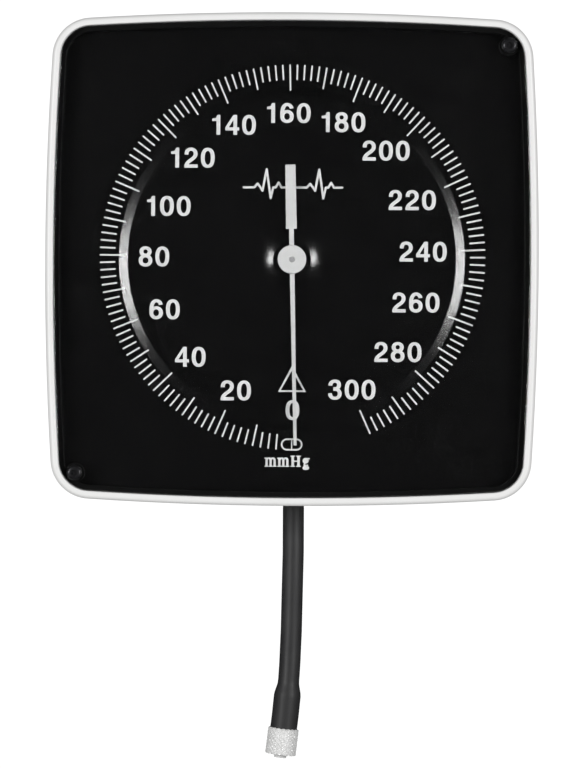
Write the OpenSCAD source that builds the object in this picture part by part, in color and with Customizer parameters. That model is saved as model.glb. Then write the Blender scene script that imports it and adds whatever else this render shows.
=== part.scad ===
// Wall aneroid blood pressure gauge.
// The face looks along -Y, +Z is up, and the rear face that meets the wall is the plane y = 0.
// Most pieces are drawn in the face's own frame: x to the right, y up, z out from the wall.

/* [Case] */
// Width and height of the case over its bowed sides
case_size = 154.5; // [154:0.5:155.5]
// Depth from the wall to the front of the rim
case_depth = 52; // [51.5:0.5:54]
// Radius of the bow in each side
side_bow_r = 1020; // [900:10:1200]
// Radius of the case's corners
corner_r = 12.4; // [12:0.1:13]
// Width of the white rim round the face
rim_w = 2.45; // [2.35:0.05:2.6]
// Rounding of the rim's front outer edge
rim_round_r = 2.2; // [1.5:0.1:2.4]
// Height above the wall where the front bezel meets the rear case
split_h = 30; // [28:0.5:32]
// Thickness of the rear wall
rear_wall_t = 2.5; // [2:0.1:3]

/* [Face] */
// Outer radius of the ring of scale ticks
scale_r = 60.6; // [60:0.1:61]
// Length of a tick that has a number
long_tick = 8.2; // [8:0.1:8.4]
// Length of the tick halfway between two numbers
middle_tick = 6.9; // [6.5:0.1:7.5]
// Length of the other ticks
short_tick = 4.9; // [4.5:0.1:5.5]
// Width of a tick
tick_w = 0.5; // [0.4:0.05:0.6]
// Depth of the round dish in the dial
dish_depth = 1; // [0.8:0.1:1.2]
// Distance from a face screw to the face's centre line
face_screw_x = 67.8; // [67.5:0.1:68]
// Length of the pointer from its hub to its tip
pointer_len = 58.4; // [57:0.1:59]
// Length of the pointer's tail with its counterweight
pointer_tail = 29.8; // [29:0.1:30.5]

/* [Wall mount] */
// Spacing of the four threaded inserts in the rear wall
insert_spacing = 60; // [58:0.5:62]
// Radius of each insert's bore, the tapping size of an M4 thread
insert_bore_r = 1.65; // [1.6:0.05:1.7]

/* [Hose] */
// Outer diameter of the hose
hose_d = 6.8; // [6.5:0.1:7]
// Diameter of the hose where it is stretched over the connector's barb
hose_flare_d = 8.6; // [8.2:0.1:8.8]
// Outer diameter of the knurled lock ring
collar_d = 9.9; // [9.8:0.1:10.4]
// Length of the knurled lock ring
collar_len = 8.6; // [8:0.1:9]

/* [Movement] */
// Gear module
gear_module = 0.3; // [0.28:0.01:0.3]
// Teeth on the pinion
pinion_teeth = 12; // [11:1:12]
// Teeth that a full circle of the sector's size would have
sector_teeth = 126; // [120:1:126]
// Turns of the hairspring
hairspring_turns = 5; // [4:1:5]
// Radius of the pressure capsule
capsule_r = 21; // [20:0.5:21.5]

/* [Hidden] */
$fn = 48;
eps = 0.01;
fit = 0.05;

// Pointer travel in degrees each side of the middle of the scale, and at rest on zero
pointer_half = 171;
pointer_mid = 169;
pointer_lean = 1.25;

// Scale: one tick per 2 mmHg and a number every 20 mmHg, zero at the bottom
scale_max = 300;
tick_step = 2;
number_step = 20;
print_t = 0.1;
// Angle of each number, clockwise from zero: a little uneven, to suit the capsule's stretch
scale_angles = [
    0, 23.5, 46, 68, 90.5, 113, 135.5, 157, 179, 201, 223, 245, 267.5, 290.5, 312.5, 336
];

// Case outline
case_half = case_size / 2;
opening_half = case_half - rim_w;
opening_r = corner_r - 2.5;
panel_gap = 0.2;
panel_half = opening_half - panel_gap;
panel_r = opening_r - panel_gap;
ledge_half = 70;
ledge_r = 11;
ledge_t = 2;
shell_half = 75.3;
shell_r = 11.5;
spigot_half = opening_half - 0.3;
spigot_r = opening_r - 0.3;
spigot_len = 6;
cavity_half = 72.3;
cavity_r = 8;
case_post = 60;

// Levels above the wall
window_front = case_depth - 0.6;
window_t = 2.4;
window_back = window_front - window_t;
dial_gap = 5.7;
dial_front = window_back - dial_gap;
dial_t = 1.5;
dial_back = dial_front - dial_t;
dish_front = dial_front - dish_depth;
dish_back = dish_front - dial_t;
ledge_back = dial_back - ledge_t;
pointer_h = dial_front + 1.3;
pointer_t = 0.5;
hub_front = pointer_h + 1.6;
hub_back = pointer_h - 0.9;
base_h = 11;
base_t = 1.5;
mid_h = 31;
plate_t = 1.3;
front_h = 37.9;
sector_h = 35.9;
sector_t = 1;
pinion_h = 35.4;
pinion_t = 1.9;

// Dish in the dial
dish_inner_r = 51.6;
dish_outer_r = 54.4;
dish_disc_r = 56.5;
boss_foot_r = 10.4;
boss_top_r = 5.95;
boss_rise = 0.9;
dial_hole_r = 2;

// Pinion and sector
pressure_angle = 20;
pinion_r = gear_module * pinion_teeth / 2;
sector_r = gear_module * sector_teeth / 2;
gear_ratio = sector_teeth / pinion_teeth;
backlash = 0.08;
sector_half = pointer_half / gear_ratio;
sector_rest = pointer_mid / gear_ratio;
sector_side_teeth = 8;

// Rocker: ratio of the pointer's swing to the rocker's swing, and its two arms
rocker_ratio = 13.5;
rocker_half = pointer_half / rocker_ratio;
rocker_rest = pointer_mid / rocker_ratio;
rocker_x = 5.5;
rocker_h = 26;
input_arm = rocker_x;
tail_arm = 7;
output_arm = tail_arm * sin(sector_half) / sin(rocker_half);
nose_r = 0.6;
contact_gap = 0.1;
sector_x = rocker_x + 2 * nose_r + contact_gap;
sector_y = -sqrt(pow(pinion_r + sector_r, 2) - pow(sector_x, 2));
output_y = sector_y - tail_arm;
sector_mid_angle = atan2(-sector_y, -sector_x);
boss_top = rocker_h - input_arm * sin(rocker_rest) - nose_r - contact_gap;

// Shafts
pivot_r = 0.8;
bush_r = 1.8;
arbor_shoulder_r = 1.2;
sector_shoulder_r = 1.4;
rocker_shaft_r = 0.9;
end_play = 0.1;

// Capsule
capsule_rim_h = 17.3;
disc_t = 0.35;
disc_gap = 0.05;
rear_disc_dip = 2.3;
front_disc_rise = 2.5;
wave_h = 0.5;
wave_pitch = 4;
disc_centre_r = 5;

// Movement plates and posts
pillar_r = 2.2;
rear_pillars = [[25, 7], [-25, 7], [22, -30], [-22, -30]];
front_pillars = [[15, 8.5], [-11.5, 8.5], [15, -30], [-11.5, -30]];
base_posts = [[34, 12], [-34, 12], [34, -15], [-34, -15]];
small_shank_r = 1;
bracket_ys = [3.6, -31.1];
bracket_t = 1.5;
bracket_foot_t = 1.2;
bracket_foot_len = 4.2;
bracket_screw_ys = [bracket_ys[0] + 3.7, bracket_ys[1] - 2.2];
bracket_screw_r = 0.8;

// Route of the hose's centre line, from the nipple's flange to the connector
hose_h = 18;
hose_x = 0.9;
hose_route = [
    [0.9, -18, -77.8], [0.9, -18, -83], [0.9, -18, -88], [0.9, -18, -93],
    [0.8, -18, -98], [0.7, -18, -103], [0.6, -18, -108], [0.5, -18, -113],
    [0.4, -18, -118], [0.2, -18, -123], [0, -18, -128], [-0.3, -18, -133],
    [-0.6, -18, -137], [-1, -18, -141], [-1.4, -18, -145], [-2, -18, -150]
];
hose_sides = 10;
flare_from_z = -134;
flare_to_z = -139;
hose_last = len(hose_route) - 1;
hose_end = hose_route[hose_last];
hose_before_end = hose_route[hose_last - 1];
hose_tilt = atan2(hose_before_end.x - hose_end.x, hose_before_end.z - hose_end.z);
nipple_pad_end = 75.8;
washer_t = 0.8;
nipple_flange_t = 1.2;
flange_end = nipple_pad_end + washer_t + nipple_flange_t;

// Route of the inner tube, in the face's frame, from the nipple to the socket
tube_route = [
    [0.9, -68, 18], [0.9, -64, 18], [0.9, -60, 17.8], [0.9, -56, 16.9], [0.8, -52, 15.3],
    [0.6, -48, 13.1], [0.3, -44, 10.8], [0, -40, 8.9], [0, -36, 7.7], [0, -32, 7.3],
    [0, -28, 7.2], [0, -20, 7.2], [0, -9.5, 7.2]
];
tube_d = 5;
tube_sides = 8;
socket_h = 7.2;

// ---- outlines and sweeps ----

function turn(p, a) = [p.x * cos(a) - p.y * sin(a), p.x * sin(a) + p.y * cos(a)];

function polar(r, a) = [r * cos(a), r * sin(a)];

// A square with four bowed sides, each `half` from the centre, and tangent round corners
function corner_centre(half, round_r) =
    (sqrt(2 * pow(side_bow_r - round_r, 2) - pow(side_bow_r - half, 2)) - (side_bow_r - half)) / 2;

function bowed_quarter(half, round_r, c, a) = concat(
    [for (i = [0:7]) [half - side_bow_r, 0] + polar(side_bow_r, -a + i * a / 4)],
    [for (i = [0:7]) [c, c] + polar(round_r, a + i * (90 - 2 * a) / 8)]
);

function bowed_square(half, round_r) =
    let (c = corner_centre(half, round_r))
    let (a = atan2(c, c - half + side_bow_r))
    [for (q = [0:3]) for (p = bowed_quarter(half, round_r, c, a)) turn(p, 90 * q)];

function rounded_rect(low, high, r) =
    let (a = low + [r, r])
    let (b = high - [r, r])
    let (corners = [b, [a.x, b.y], a, [b.x, a.y]])
    [for (q = [0:3]) for (i = [0:5]) corners[q] + polar(r, 90 * q + 18 * i)];

// One ring of a tube, square to the way from p to q
function tube_ring(centre, way, r, sides) =
    let (w = way / norm(way))
    let (u = abs(w.x) > 0.9 ? [0, 1, 0] : cross(w, cross([1, 0, 0], w)) / norm(cross([1, 0, 0], w)))
    let (v = cross(w, u))
    [for (i = [0:sides - 1]) centre + r * cos(i * 360 / sides) * u + r * sin(i * 360 / sides) * v];

function route_way(route, i) =
    i == 0 ? route[1] - route[0]
    : i == len(route) - 1 ? route[i] - route[i - 1]
    : route[i + 1] - route[i - 1];

module swept_tube(route, radii, sides) {
    points = [for (i = [0:len(route) - 1]) each tube_ring(route[i], route_way(route, i), radii[i], sides)];
    last = (len(route) - 1) * sides;
    walls = [
        for (i = [0:sides:last - sides]) for (j = [0:sides - 1])
            let (k = (j + 1) % sides)
            [i + j, i + k, i + k + sides, i + j + sides]
    ];
    start_cap = [[for (j = [sides - 1:-1:0]) j]];
    end_cap = [[for (j = [0:sides - 1]) last + j]];
    polyhedron(points, concat(start_cap, walls, end_cap), convexity = 4);
}

// ---- placing ----

// The face's frame: x right, y up, z out from the wall
module face_frame() {
    rotate([90, 0, 0]) children();
}

module at_height(h) {
    translate([0, 0, h]) children();
}

module at_each(places) {
    for (p = places) translate([p.x, p.y, 0]) children();
}

module slab(outline, low, high) {
    at_height(low) linear_extrude(high - low) polygon(outline);
}

module disc(r, low, high) {
    at_height(low) cylinder(r = r, h = high - low);
}

// z runs down from the face's centre, at a height above the wall
module down_at(h) {
    at_height(h) rotate([90, 0, 0]) children();
}

// The same at the hose's exit, a little right of the face's centre line
module down_at_hose() {
    translate([hose_x, 0, 0]) down_at(hose_h) children();
}

// At the hose's end: z runs on along the connector
module at_hose_end() {
    translate(hose_end) rotate([0, hose_tilt, 0]) rotate([180, 0, 0]) children();
}

// A slotted pan-head screw whose head stands on z = 0, shank towards -z
module pan_screw(head_r, head_t, shank_r, shank_len) {
    difference() {
        union() {
            cylinder(r = head_r, h = head_t);
            translate([0, 0, -shank_len]) cylinder(r = shank_r, h = shank_len + eps);
        }
        translate([-head_r, -head_r / 8, head_t * 0.5]) cube([2 * head_r, head_r / 4, head_t]);
    }
}

// Corners that hold the two face screws, top right and bottom left
face_screw_places = [[face_screw_x, face_screw_x - 0.6], [-face_screw_x, -face_screw_x + 0.6]];
case_screw_places = [for (i = [-1, 1]) for (j = [-1, 1]) [i * case_post, j * case_post]];
insert_places = [for (i = [-1, 1]) for (j = [-1, 1]) [i, j] * insert_spacing / 2];
face_screw_r = 1.25;
face_screw_head_r = 2.4;
case_screw_r = 1.5;
case_screw_seat = 22;
case_screw_len = 13;

// ---- case ----

module rounded_bezel_body() {
    steps = 4;
    hull() {
        slab(bowed_square(case_half, corner_r), split_h, case_depth - rim_round_r);
        for (i = [1:steps]) {
            inset = rim_round_r * (1 - cos(90 * i / steps)) * 0.6;
            slab(bowed_square(case_half - inset, corner_r - inset),
                case_depth - rim_round_r + rim_round_r * sin(90 * i / steps) - eps,
                case_depth - rim_round_r + rim_round_r * sin(90 * i / steps));
        }
    }
}

module front_bezel() {
    post_r = 3.6;
    web_half = 8;
    color("white") face_frame() difference() {
        union() {
            difference() {
                rounded_bezel_body();
                slab(bowed_square(opening_half, opening_r), dial_back, case_depth + 1);
                slab(bowed_square(ledge_half, ledge_r), ledge_back - 1, dial_back + 1);
                slab(bowed_square(opening_half, opening_r), split_h - 1, ledge_back);
            }
            at_each(case_screw_places) disc(post_r, split_h, ledge_back + eps);
            intersection() {
                slab(bowed_square(case_half - 1, corner_r - 1), ledge_back, dial_back);
                at_each(case_screw_places) translate([-web_half, -web_half, ledge_back])
                    cube([2 * web_half, 2 * web_half, ledge_t]);
            }
            intersection() {
                at_each(face_screw_places) disc(3.4, split_h + spigot_len + 0.2, ledge_back + eps);
                slab(bowed_square(case_half - 1, corner_r - 1), split_h, dial_back);
            }
        }
        at_each(case_screw_places) disc(case_screw_r, split_h - 1, split_h + 6);
        at_each(face_screw_places) disc(face_screw_r, ledge_back - 7, dial_back + 1);
    }
}

module rear_shell_body() {
    hull() {
        slab(bowed_square(shell_half - 3.4, shell_r - 3.4), 0, eps);
        slab(bowed_square(shell_half - 2, shell_r - 2), 0.8, 0.8 + eps);
        slab(bowed_square(shell_half - 0.9, shell_r - 0.9), 3.4, 3.4 + eps);
        slab(bowed_square(shell_half, shell_r), split_h - eps, split_h);
    }
}

module rear_case() {
    color("white") face_frame() difference() {
        union() {
            difference() {
                union() {
                    rear_shell_body();
                    slab(bowed_square(spigot_half, spigot_r), split_h - 1, split_h + spigot_len);
                    down_at_hose() cylinder(r = 8, h = nipple_pad_end);
                }
                slab(bowed_square(cavity_half, cavity_r), rear_wall_t, split_h + spigot_len + 1);
            }
            at_each(case_screw_places) disc(4.4, rear_wall_t - eps, split_h);
            at_each(insert_places) disc(5, rear_wall_t - eps, 10.3);
            at_each(base_posts) disc(3.5, rear_wall_t - eps, base_h);
        }
        at_each(case_screw_places) disc(3.1, -1, case_screw_seat);
        at_each(case_screw_places) disc(case_screw_r + 0.15, case_screw_seat - 1, split_h + 1);
        at_each(insert_places) disc(2.9, -1, 8);
        at_each(base_posts) disc(1.25, 5, base_h + 1);
        down_at_hose() at_height(cavity_half - 4) cylinder(r = 4, h = 12);
    }
}

module window_panel() {
    color("lightcyan", 0.3) face_frame() difference() {
        slab(bowed_square(panel_half, panel_r), window_back, window_front);
        at_each(face_screw_places) disc(face_screw_head_r + 0.15, window_front - 1.2, window_front + 1);
        at_each(face_screw_places) disc(face_screw_r + 0.2, window_back - 1, window_front + 1);
    }
}

module spacer_frame() {
    color("dimgray") face_frame() difference() {
        intersection() {
            union() {
                difference() {
                    slab(bowed_square(panel_half, panel_r), dial_front, window_back);
                    slab(bowed_square(panel_half - 1.5, panel_r - 1.5), dial_front - 1, window_back + 1);
                }
                at_each(face_screw_places) disc(3.1, dial_front, window_back);
            }
            slab(bowed_square(panel_half, panel_r), dial_front, window_back);
        }
        at_each(face_screw_places) disc(face_screw_r + 0.2, dial_front - 1, window_back + 1);
    }
}

module dial_plate() {
    color([0.05, 0.05, 0.05]) face_frame() difference() {
        union() {
            slab(bowed_square(panel_half, panel_r), dial_back, dial_front);
            disc(dish_disc_r, dish_back, dial_back + 0.5);
        }
        rotate_extrude($fn = 120) polygon([
            [0, dish_front + boss_rise], [boss_top_r, dish_front + boss_rise], [boss_foot_r, dish_front],
            [dish_inner_r, dish_front], [dish_outer_r, dial_front], [dish_outer_r, dial_front + 1],
            [0, dial_front + 1]
        ]);
        disc(dial_hole_r, dish_back - 1, dial_front + 1);
        at_each(face_screw_places) disc(face_screw_r + 0.2, dial_back - 1, dial_front + 1);
    }
}

// A tick as a flat strip that follows the dial down the slope of its dish
module tick(length) {
    inner_r = scale_r - length;
    drop = dish_depth * max(0, dish_outer_r - inner_r) / (dish_outer_r - dish_inner_r);
    flat = [[scale_r, dial_front], [scale_r, dial_front + print_t]];
    over = inner_r < dish_outer_r ? [[dish_outer_r, dial_front + print_t]] : [];
    under = inner_r < dish_outer_r ? [[dish_outer_r, dial_front]] : [];
    inner = [[inner_r, dial_front - drop + print_t], [inner_r, dial_front - drop]];
    profile = concat(flat, over, inner, under);
    translate([0, tick_w / 2, 0]) rotate([90, 0, 0]) linear_extrude(tick_w) polygon(profile);
}

function scale_angle(p) = lookup(p / number_step, [for (i = [0:len(scale_angles) - 1]) [i, scale_angles[i]]]);

function tick_length(p) =
    p % number_step == 0 ? long_tick
    : p % (number_step / 2) == 0 ? middle_tick
    : short_tick;

module dial_scale_marks() {
    zero_outer = [3.4, 1.9];
    zero_inner = zero_outer - [0.5, 0.5];
    zero_y = -58.8;
    zero_tick_w = 0.35;
    color("white") face_frame() union() {
        for (p = [2 * tick_step:tick_step:scale_max])
            rotate([0, 0, -90 - scale_angle(p)]) tick(tick_length(p));
        translate([0, zero_y, dial_front]) linear_extrude(print_t) difference() {
            polygon(rounded_rect(-zero_outer, zero_outer, zero_outer.y - eps));
            polygon(rounded_rect(-zero_inner, zero_inner, zero_inner.y - eps));
        }
        translate([-zero_tick_w / 2, zero_y - zero_inner.y - eps, dial_front])
            cube([zero_tick_w, 2 * (zero_inner.y + eps), print_t]);
        at_height(dish_front) linear_extrude(print_t) difference() {
            polygon([[0, -34], [4.4, -42.3], [-4.4, -42.3]]);
            polygon([[0, -35.5], [3.5, -41.75], [-3.5, -41.75]]);
        }
    }
}

module face_screws() {
    color([0.1, 0.1, 0.1]) face_frame() at_each(face_screw_places)
        at_height(window_front - 1.2) pan_screw(face_screw_head_r, 1.1, face_screw_r, 14);
}

module case_screws() {
    color("silver") face_frame() at_each(case_screw_places)
        at_height(case_screw_seat) rotate([180, 0, 0]) pan_screw(2.8, 2.2, case_screw_r, case_screw_len);
}

module rear_inserts() {
    color("goldenrod") face_frame() at_each(insert_places) difference() {
        disc(2.9, 0, 8);
        disc(insert_bore_r, -1, 9);
    }
}

// ---- pointer and its arbor ----

module pointer() {
    needle_root = 0.75;
    needle_tip = 0.5;
    neck = 0.75;
    weight = 1.7;
    weight_from = 9.6;
    color("white") face_frame() rotate([0, 0, pointer_lean]) at_height(pointer_h) difference() {
        linear_extrude(pointer_t) union() {
            polygon([
                [-needle_root, 0], [-needle_tip, -pointer_len], [needle_tip, -pointer_len], [needle_root, 0]
            ]);
            polygon([[-neck, 0], [neck, 0], [neck, weight_from + 1], [-neck, weight_from + 1]]);
            polygon([
                [-weight, weight_from], [weight, weight_from],
                [weight - 0.1, pointer_tail], [-weight + 0.1, pointer_tail]
            ]);
            circle(r = 3);
        }
        at_height(-1) cylinder(r = pivot_r + 0.7, h = 3);
    }
}

module pointer_hub() {
    color("whitesmoke") face_frame() difference() {
        union() {
            disc(pivot_r + 0.7, hub_back, pointer_h + pointer_t + eps);
            disc(4.5, pointer_h + pointer_t, hub_front - 0.4);
            at_height(hub_front - 0.4 - eps) cylinder(r1 = 4.5, r2 = 4, h = 0.4);
        }
        disc(pivot_r, hub_back - 1, hub_front + 1);
    }
}

// Angle from a tooth's middle to its flank, at radius r
function flank_angle(r, pitch_r, teeth) =
    let (base_r = pitch_r * cos(pressure_angle))
    let (at_r = acos(min(1, base_r / r)))
    let (half_tooth = 90 / teeth - backlash / 2 / pitch_r * 180 / PI)
    half_tooth + (tan(pressure_angle) - tan(at_r)) * 180 / PI - pressure_angle + at_r;

// One tooth's outline, from root to tip and back, about the angle `middle`
function tooth(middle, pitch_r, teeth, root_r, tip_r) =
    let (base_r = pitch_r * cos(pressure_angle))
    let (from_r = max(root_r, base_r))
    let (steps = 3)
    let (rs = concat([root_r], [for (i = [0:steps]) from_r + (tip_r - from_r) * i / steps]))
    concat(
        [for (r = rs) polar(r, middle - flank_angle(max(r, from_r), pitch_r, teeth))],
        [for (i = [len(rs) - 1:-1:0]) polar(rs[i], middle + flank_angle(max(rs[i], from_r), pitch_r, teeth))]
    );

module pinion_arbor() {
    root_r = pinion_r - 1.25 * gear_module;
    tip_r = pinion_r + gear_module;
    space_angle = sector_mid_angle + 180;
    pitch = 360 / pinion_teeth;
    color("silver") face_frame() rotate([0, 0, pointer_mid]) union() {
        disc(pivot_r, mid_h + 0.1, hub_front);
        disc(arbor_shoulder_r, mid_h + plate_t + end_play, front_h - end_play);
        at_height(pinion_h) linear_extrude(pinion_t) polygon([
            for (i = [0:pinion_teeth - 1])
                each tooth(space_angle + (i + 0.5) * pitch, pinion_r, pinion_teeth, root_r, tip_r)
        ]);
    }
}

module pivot_bushes() {
    color("goldenrod") face_frame() difference() {
        at_each([[0, 0], [sector_x, sector_y]]) union() {
            disc(bush_r, mid_h, mid_h + plate_t);
            disc(bush_r, front_h, front_h + plate_t);
        }
        at_each([[0, 0], [sector_x, sector_y]]) disc(pivot_r + fit, mid_h - 1, front_h + plate_t + 1);
    }
}

hairspring_h = 33.4;
hairspring_tall = 0.8;
hairspring_inner_r = 2;
hairspring_outer_r = 7.5;
hairspring_w = 0.14;
collet_r = 1.9;
stud_x = hairspring_outer_r + 0.75;

function spiral_r(i, steps) = hairspring_inner_r + (hairspring_outer_r - hairspring_inner_r) * i / steps;

module hairspring() {
    per_turn = 24;
    steps = hairspring_turns * per_turn;
    start = [for (i = [0:steps]) polar(spiral_r(i, steps), i * 360 / per_turn)];
    back = [for (i = [steps:-1:0]) polar(spiral_r(i, steps) + hairspring_w, i * 360 / per_turn)];
    color("peru") face_frame() at_height(hairspring_h)
        linear_extrude(hairspring_tall) polygon(concat(start, back));
}

module hairspring_collet() {
    color("gold") face_frame() difference() {
        disc(collet_r, hairspring_h - 0.2, hairspring_h + 1);
        disc(arbor_shoulder_r, hairspring_h - 1, hairspring_h + 2);
    }
}

module hairspring_stud() {
    color("gold") face_frame() translate([stud_x, 0, 0]) disc(0.55, mid_h + plate_t, hairspring_h + 1);
}

// ---- sector ----

module sector_gear() {
    root_r = sector_r - 1.5 * gear_module;
    tip_r = sector_r + 0.7 * gear_module;
    rim_r = root_r - 2.2;
    pitch = 360 / sector_teeth;
    toothed = [
        for (i = [-sector_side_teeth:sector_side_teeth])
            each tooth(sector_mid_angle + i * pitch, sector_r, sector_teeth, root_r, tip_r)
    ];
    span = (sector_side_teeth + 0.5) * pitch;
    inner = [for (i = [6:-1:-6]) polar(rim_r, sector_mid_angle + span * i / 6)];
    color("goldenrod") face_frame() translate([sector_x, sector_y, sector_h]) rotate([0, 0, -sector_rest])
        linear_extrude(sector_t) difference() {
            union() {
                polygon(concat(toothed, inner));
                for (side = [-1, 1]) rotate([0, 0, sector_mid_angle + side * (span - 5)])
                    translate([0, -1, 0]) square([rim_r + 0.8, 2]);
                circle(r = 2.8);
                rotate([0, 0, -90]) translate([0, -1.3, 0]) square([tail_arm, 2.6]);
                translate([0, -tail_arm, 0]) circle(r = 1.3 + eps);
            }
            circle(r = sector_shoulder_r);
            translate([0, -tail_arm, 0]) circle(r = nose_r);
        }
}

module sector_shaft() {
    color("silver") face_frame() translate([sector_x, sector_y, 0]) union() {
        disc(pivot_r, mid_h + 0.1, front_h + plate_t);
        disc(sector_shoulder_r, mid_h + plate_t + end_play, front_h - end_play);
    }
}

module sector_drive_pin() {
    color("silver") face_frame() translate([sector_x, sector_y, 0]) rotate([0, 0, -sector_rest])
        translate([0, -tail_arm, 0]) disc(nose_r, sector_h - 2.2, sector_h + sector_t);
}

// ---- rocker ----

// The rocker's frame: the face's frame moved to the rocker's axis and turned about its shaft
module rocker_frame(swing) {
    translate([rocker_x, 0, rocker_h]) rotate([0, swing, 0]) children();
}

// A cylinder along the shaft, between two heights on the face
module along_shaft(r, low, high) {
    translate([0, high, 0]) rotate([90, 0, 0]) cylinder(r = r, h = high - low);
}

module rocker_shaft() {
    color("silver") face_frame() rocker_frame(0) union() {
        along_shaft(rocker_shaft_r, bracket_ys[1] - 0.3, bracket_ys[0] + bracket_t + 0.3);
        along_shaft(1.6, bracket_ys[0] - 0.6, bracket_ys[0] - 0.15);
        along_shaft(1.6, bracket_ys[1] + bracket_t + 0.15, bracket_ys[1] + bracket_t + 0.6);
    }
}

module rocker_input_lever() {
    color("goldenrod") face_frame() rocker_frame(-rocker_rest) difference() {
        union() {
            along_shaft(1.8, -1.5, 1.5);
            translate([-input_arm, -1, -0.35]) cube([input_arm, 2, 0.7]);
            translate([-input_arm, 0, 0]) along_shaft(nose_r, -1.2, 1.2);
        }
        along_shaft(rocker_shaft_r, -2, 2);
    }
}

module rocker_output_lever() {
    color("goldenrod") face_frame() rocker_frame(-rocker_rest) difference() {
        union() {
            along_shaft(1.8, output_y - 1, output_y + 1.4);
            translate([-0.5, output_y - 0.6, 0]) cube([1, 1.6, output_arm]);
            translate([0, 0, output_arm]) along_shaft(nose_r, output_y - 1, output_y + 1.4);
        }
        along_shaft(rocker_shaft_r, output_y - 2, output_y + 2);
    }
}

module rocker_brackets() {
    w = 6;
    below = 2.4;
    foot_ys = [bracket_ys[0] + bracket_t - eps, bracket_ys[1] - bracket_foot_len];
    color("silver") face_frame() for (i = [0, 1]) difference() {
        union() {
            translate([rocker_x - w / 2, bracket_ys[i], rocker_h - below])
                cube([w, bracket_t, mid_h - rocker_h + below]);
            translate([rocker_x - w / 2, foot_ys[i], mid_h - bracket_foot_t])
                cube([w, bracket_foot_len + eps, bracket_foot_t]);
        }
        translate([rocker_x, 0, rocker_h])
            along_shaft(rocker_shaft_r + fit, bracket_ys[i] - 1, bracket_ys[i] + bracket_t + 1);
        translate([rocker_x, bracket_screw_ys[i], 0]) disc(bracket_screw_r, mid_h - 2, mid_h + 1);
    }
}

module bracket_screws() {
    color("silver") face_frame() for (i = [0, 1])
        translate([rocker_x, bracket_screw_ys[i], mid_h - bracket_foot_t])
            rotate([180, 0, 0]) pan_screw(1.5, 0.9, bracket_screw_r, bracket_foot_t + plate_t);
}

// ---- pressure capsule ----

// Height of a capsule disc at radius r: a slope from centre to rim with ripples on it
function disc_rise(r, rise) =
    let (share = (r - disc_centre_r) / (capsule_r - 2 - disc_centre_r))
    r <= disc_centre_r ? rise
    : r >= capsule_r - 2 ? 0
    : rise * (1 - share) + wave_h * sin(360 * (r - disc_centre_r) / wave_pitch) / 2;

module capsule_disc(rim_h, rise, hole_r) {
    waved = [for (i = [1:13]) disc_centre_r + i];
    rs = concat([hole_r, disc_centre_r], waved, [capsule_r - 2, capsule_r]);
    low = [for (r = rs) [r, rim_h + disc_rise(r, rise)]];
    high = [for (i = [len(rs) - 1:-1:0]) [rs[i], rim_h + disc_t + disc_rise(rs[i], rise)]];
    rotate_extrude($fn = 96) polygon(concat(low, high));
}

module capsule_rear_disc() {
    color("darkgoldenrod") face_frame() capsule_disc(capsule_rim_h, -rear_disc_dip, 1.5);
}

front_disc_h = capsule_rim_h + disc_t + disc_gap;

module capsule_front_disc() {
    color("darkgoldenrod") face_frame() capsule_disc(front_disc_h, front_disc_rise, 0.4);
}

module capsule_boss() {
    seat = front_disc_h + front_disc_rise + disc_t;
    color("gold") face_frame() union() {
        disc(4, seat, seat + 0.8);
        disc(0.8, seat + 0.8 - eps, boss_top);
    }
}

module capsule_bush() {
    top = capsule_rim_h - rear_disc_dip;
    color("gold") face_frame() difference() {
        disc(4.8, base_h + base_t, top);
        disc(3, base_h, top + 1);
    }
}

module pressure_socket() {
    color("goldenrod") face_frame() difference() {
        union() {
            disc(7.5, 3.6, base_h);
            disc(3, base_h - eps, capsule_rim_h - rear_disc_dip - 0.3);
            down_at(socket_h) at_height(6) cylinder(r = 1.9, h = 12);
            down_at(socket_h) for (t = [11, 13.5, 16]) at_height(t) cylinder(r1 = 2.3, r2 = 1.9, h = 2);
        }
        disc(0.8, socket_h, capsule_rim_h);
        down_at(socket_h) cylinder(r = 0.8, h = 19);
    }
}

// ---- movement frame ----

module movement_base_plate() {
    color("silver") face_frame() difference() {
        slab(rounded_rect([-38, -34], [38, 17], 4), base_h, base_h + base_t);
        disc(3.1, base_h - 1, base_h + 3);
        at_each(rear_pillars) disc(small_shank_r, base_h - 1, base_h + 3);
        at_each(base_posts) disc(1.4, base_h - 1, base_h + 3);
    }
}

module movement_mid_plate() {
    slot_x = 2.3;
    slot_y = 1.8;
    color("khaki") face_frame() difference() {
        slab(rounded_rect([-28, -37], [28, 12], 4), mid_h, mid_h + plate_t);
        at_each([[0, 0], [sector_x, sector_y]]) disc(bush_r, mid_h - 1, mid_h + 3);
        at_each(rear_pillars) disc(small_shank_r, mid_h - 1, mid_h + 3);
        at_each(front_pillars) disc(small_shank_r, mid_h - 1, mid_h + 3);
        translate([rocker_x - slot_x, output_y - slot_y, mid_h - 1]) cube([2 * slot_x, 2 * slot_y + 0.4, 3]);
        for (i = [0, 1])
            translate([rocker_x, bracket_screw_ys[i], 0]) disc(bracket_screw_r, mid_h - 1, mid_h + 3);
    }
}

module movement_front_plate() {
    color("khaki") face_frame() difference() {
        slab(rounded_rect([-15, -34], [19, 12], 4), front_h, front_h + plate_t);
        at_each([[0, 0], [sector_x, sector_y]]) disc(bush_r, front_h - 1, front_h + 3);
        at_each(front_pillars) disc(small_shank_r, front_h - 1, front_h + 3);
    }
}

module tapped_pillar(low, high) {
    difference() {
        disc(pillar_r, low, high);
        disc(small_shank_r, low - 1, low + 4.5);
        disc(small_shank_r, high - 4.5, high + 1);
    }
}

module rear_pillars() {
    color("gold") face_frame() at_each(rear_pillars) tapped_pillar(base_h + base_t, mid_h);
}

module front_pillars() {
    color("gold") face_frame() at_each(front_pillars) difference() {
        disc(pillar_r, mid_h + plate_t, front_h);
        disc(small_shank_r, mid_h, front_h + 1);
    }
}

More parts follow.
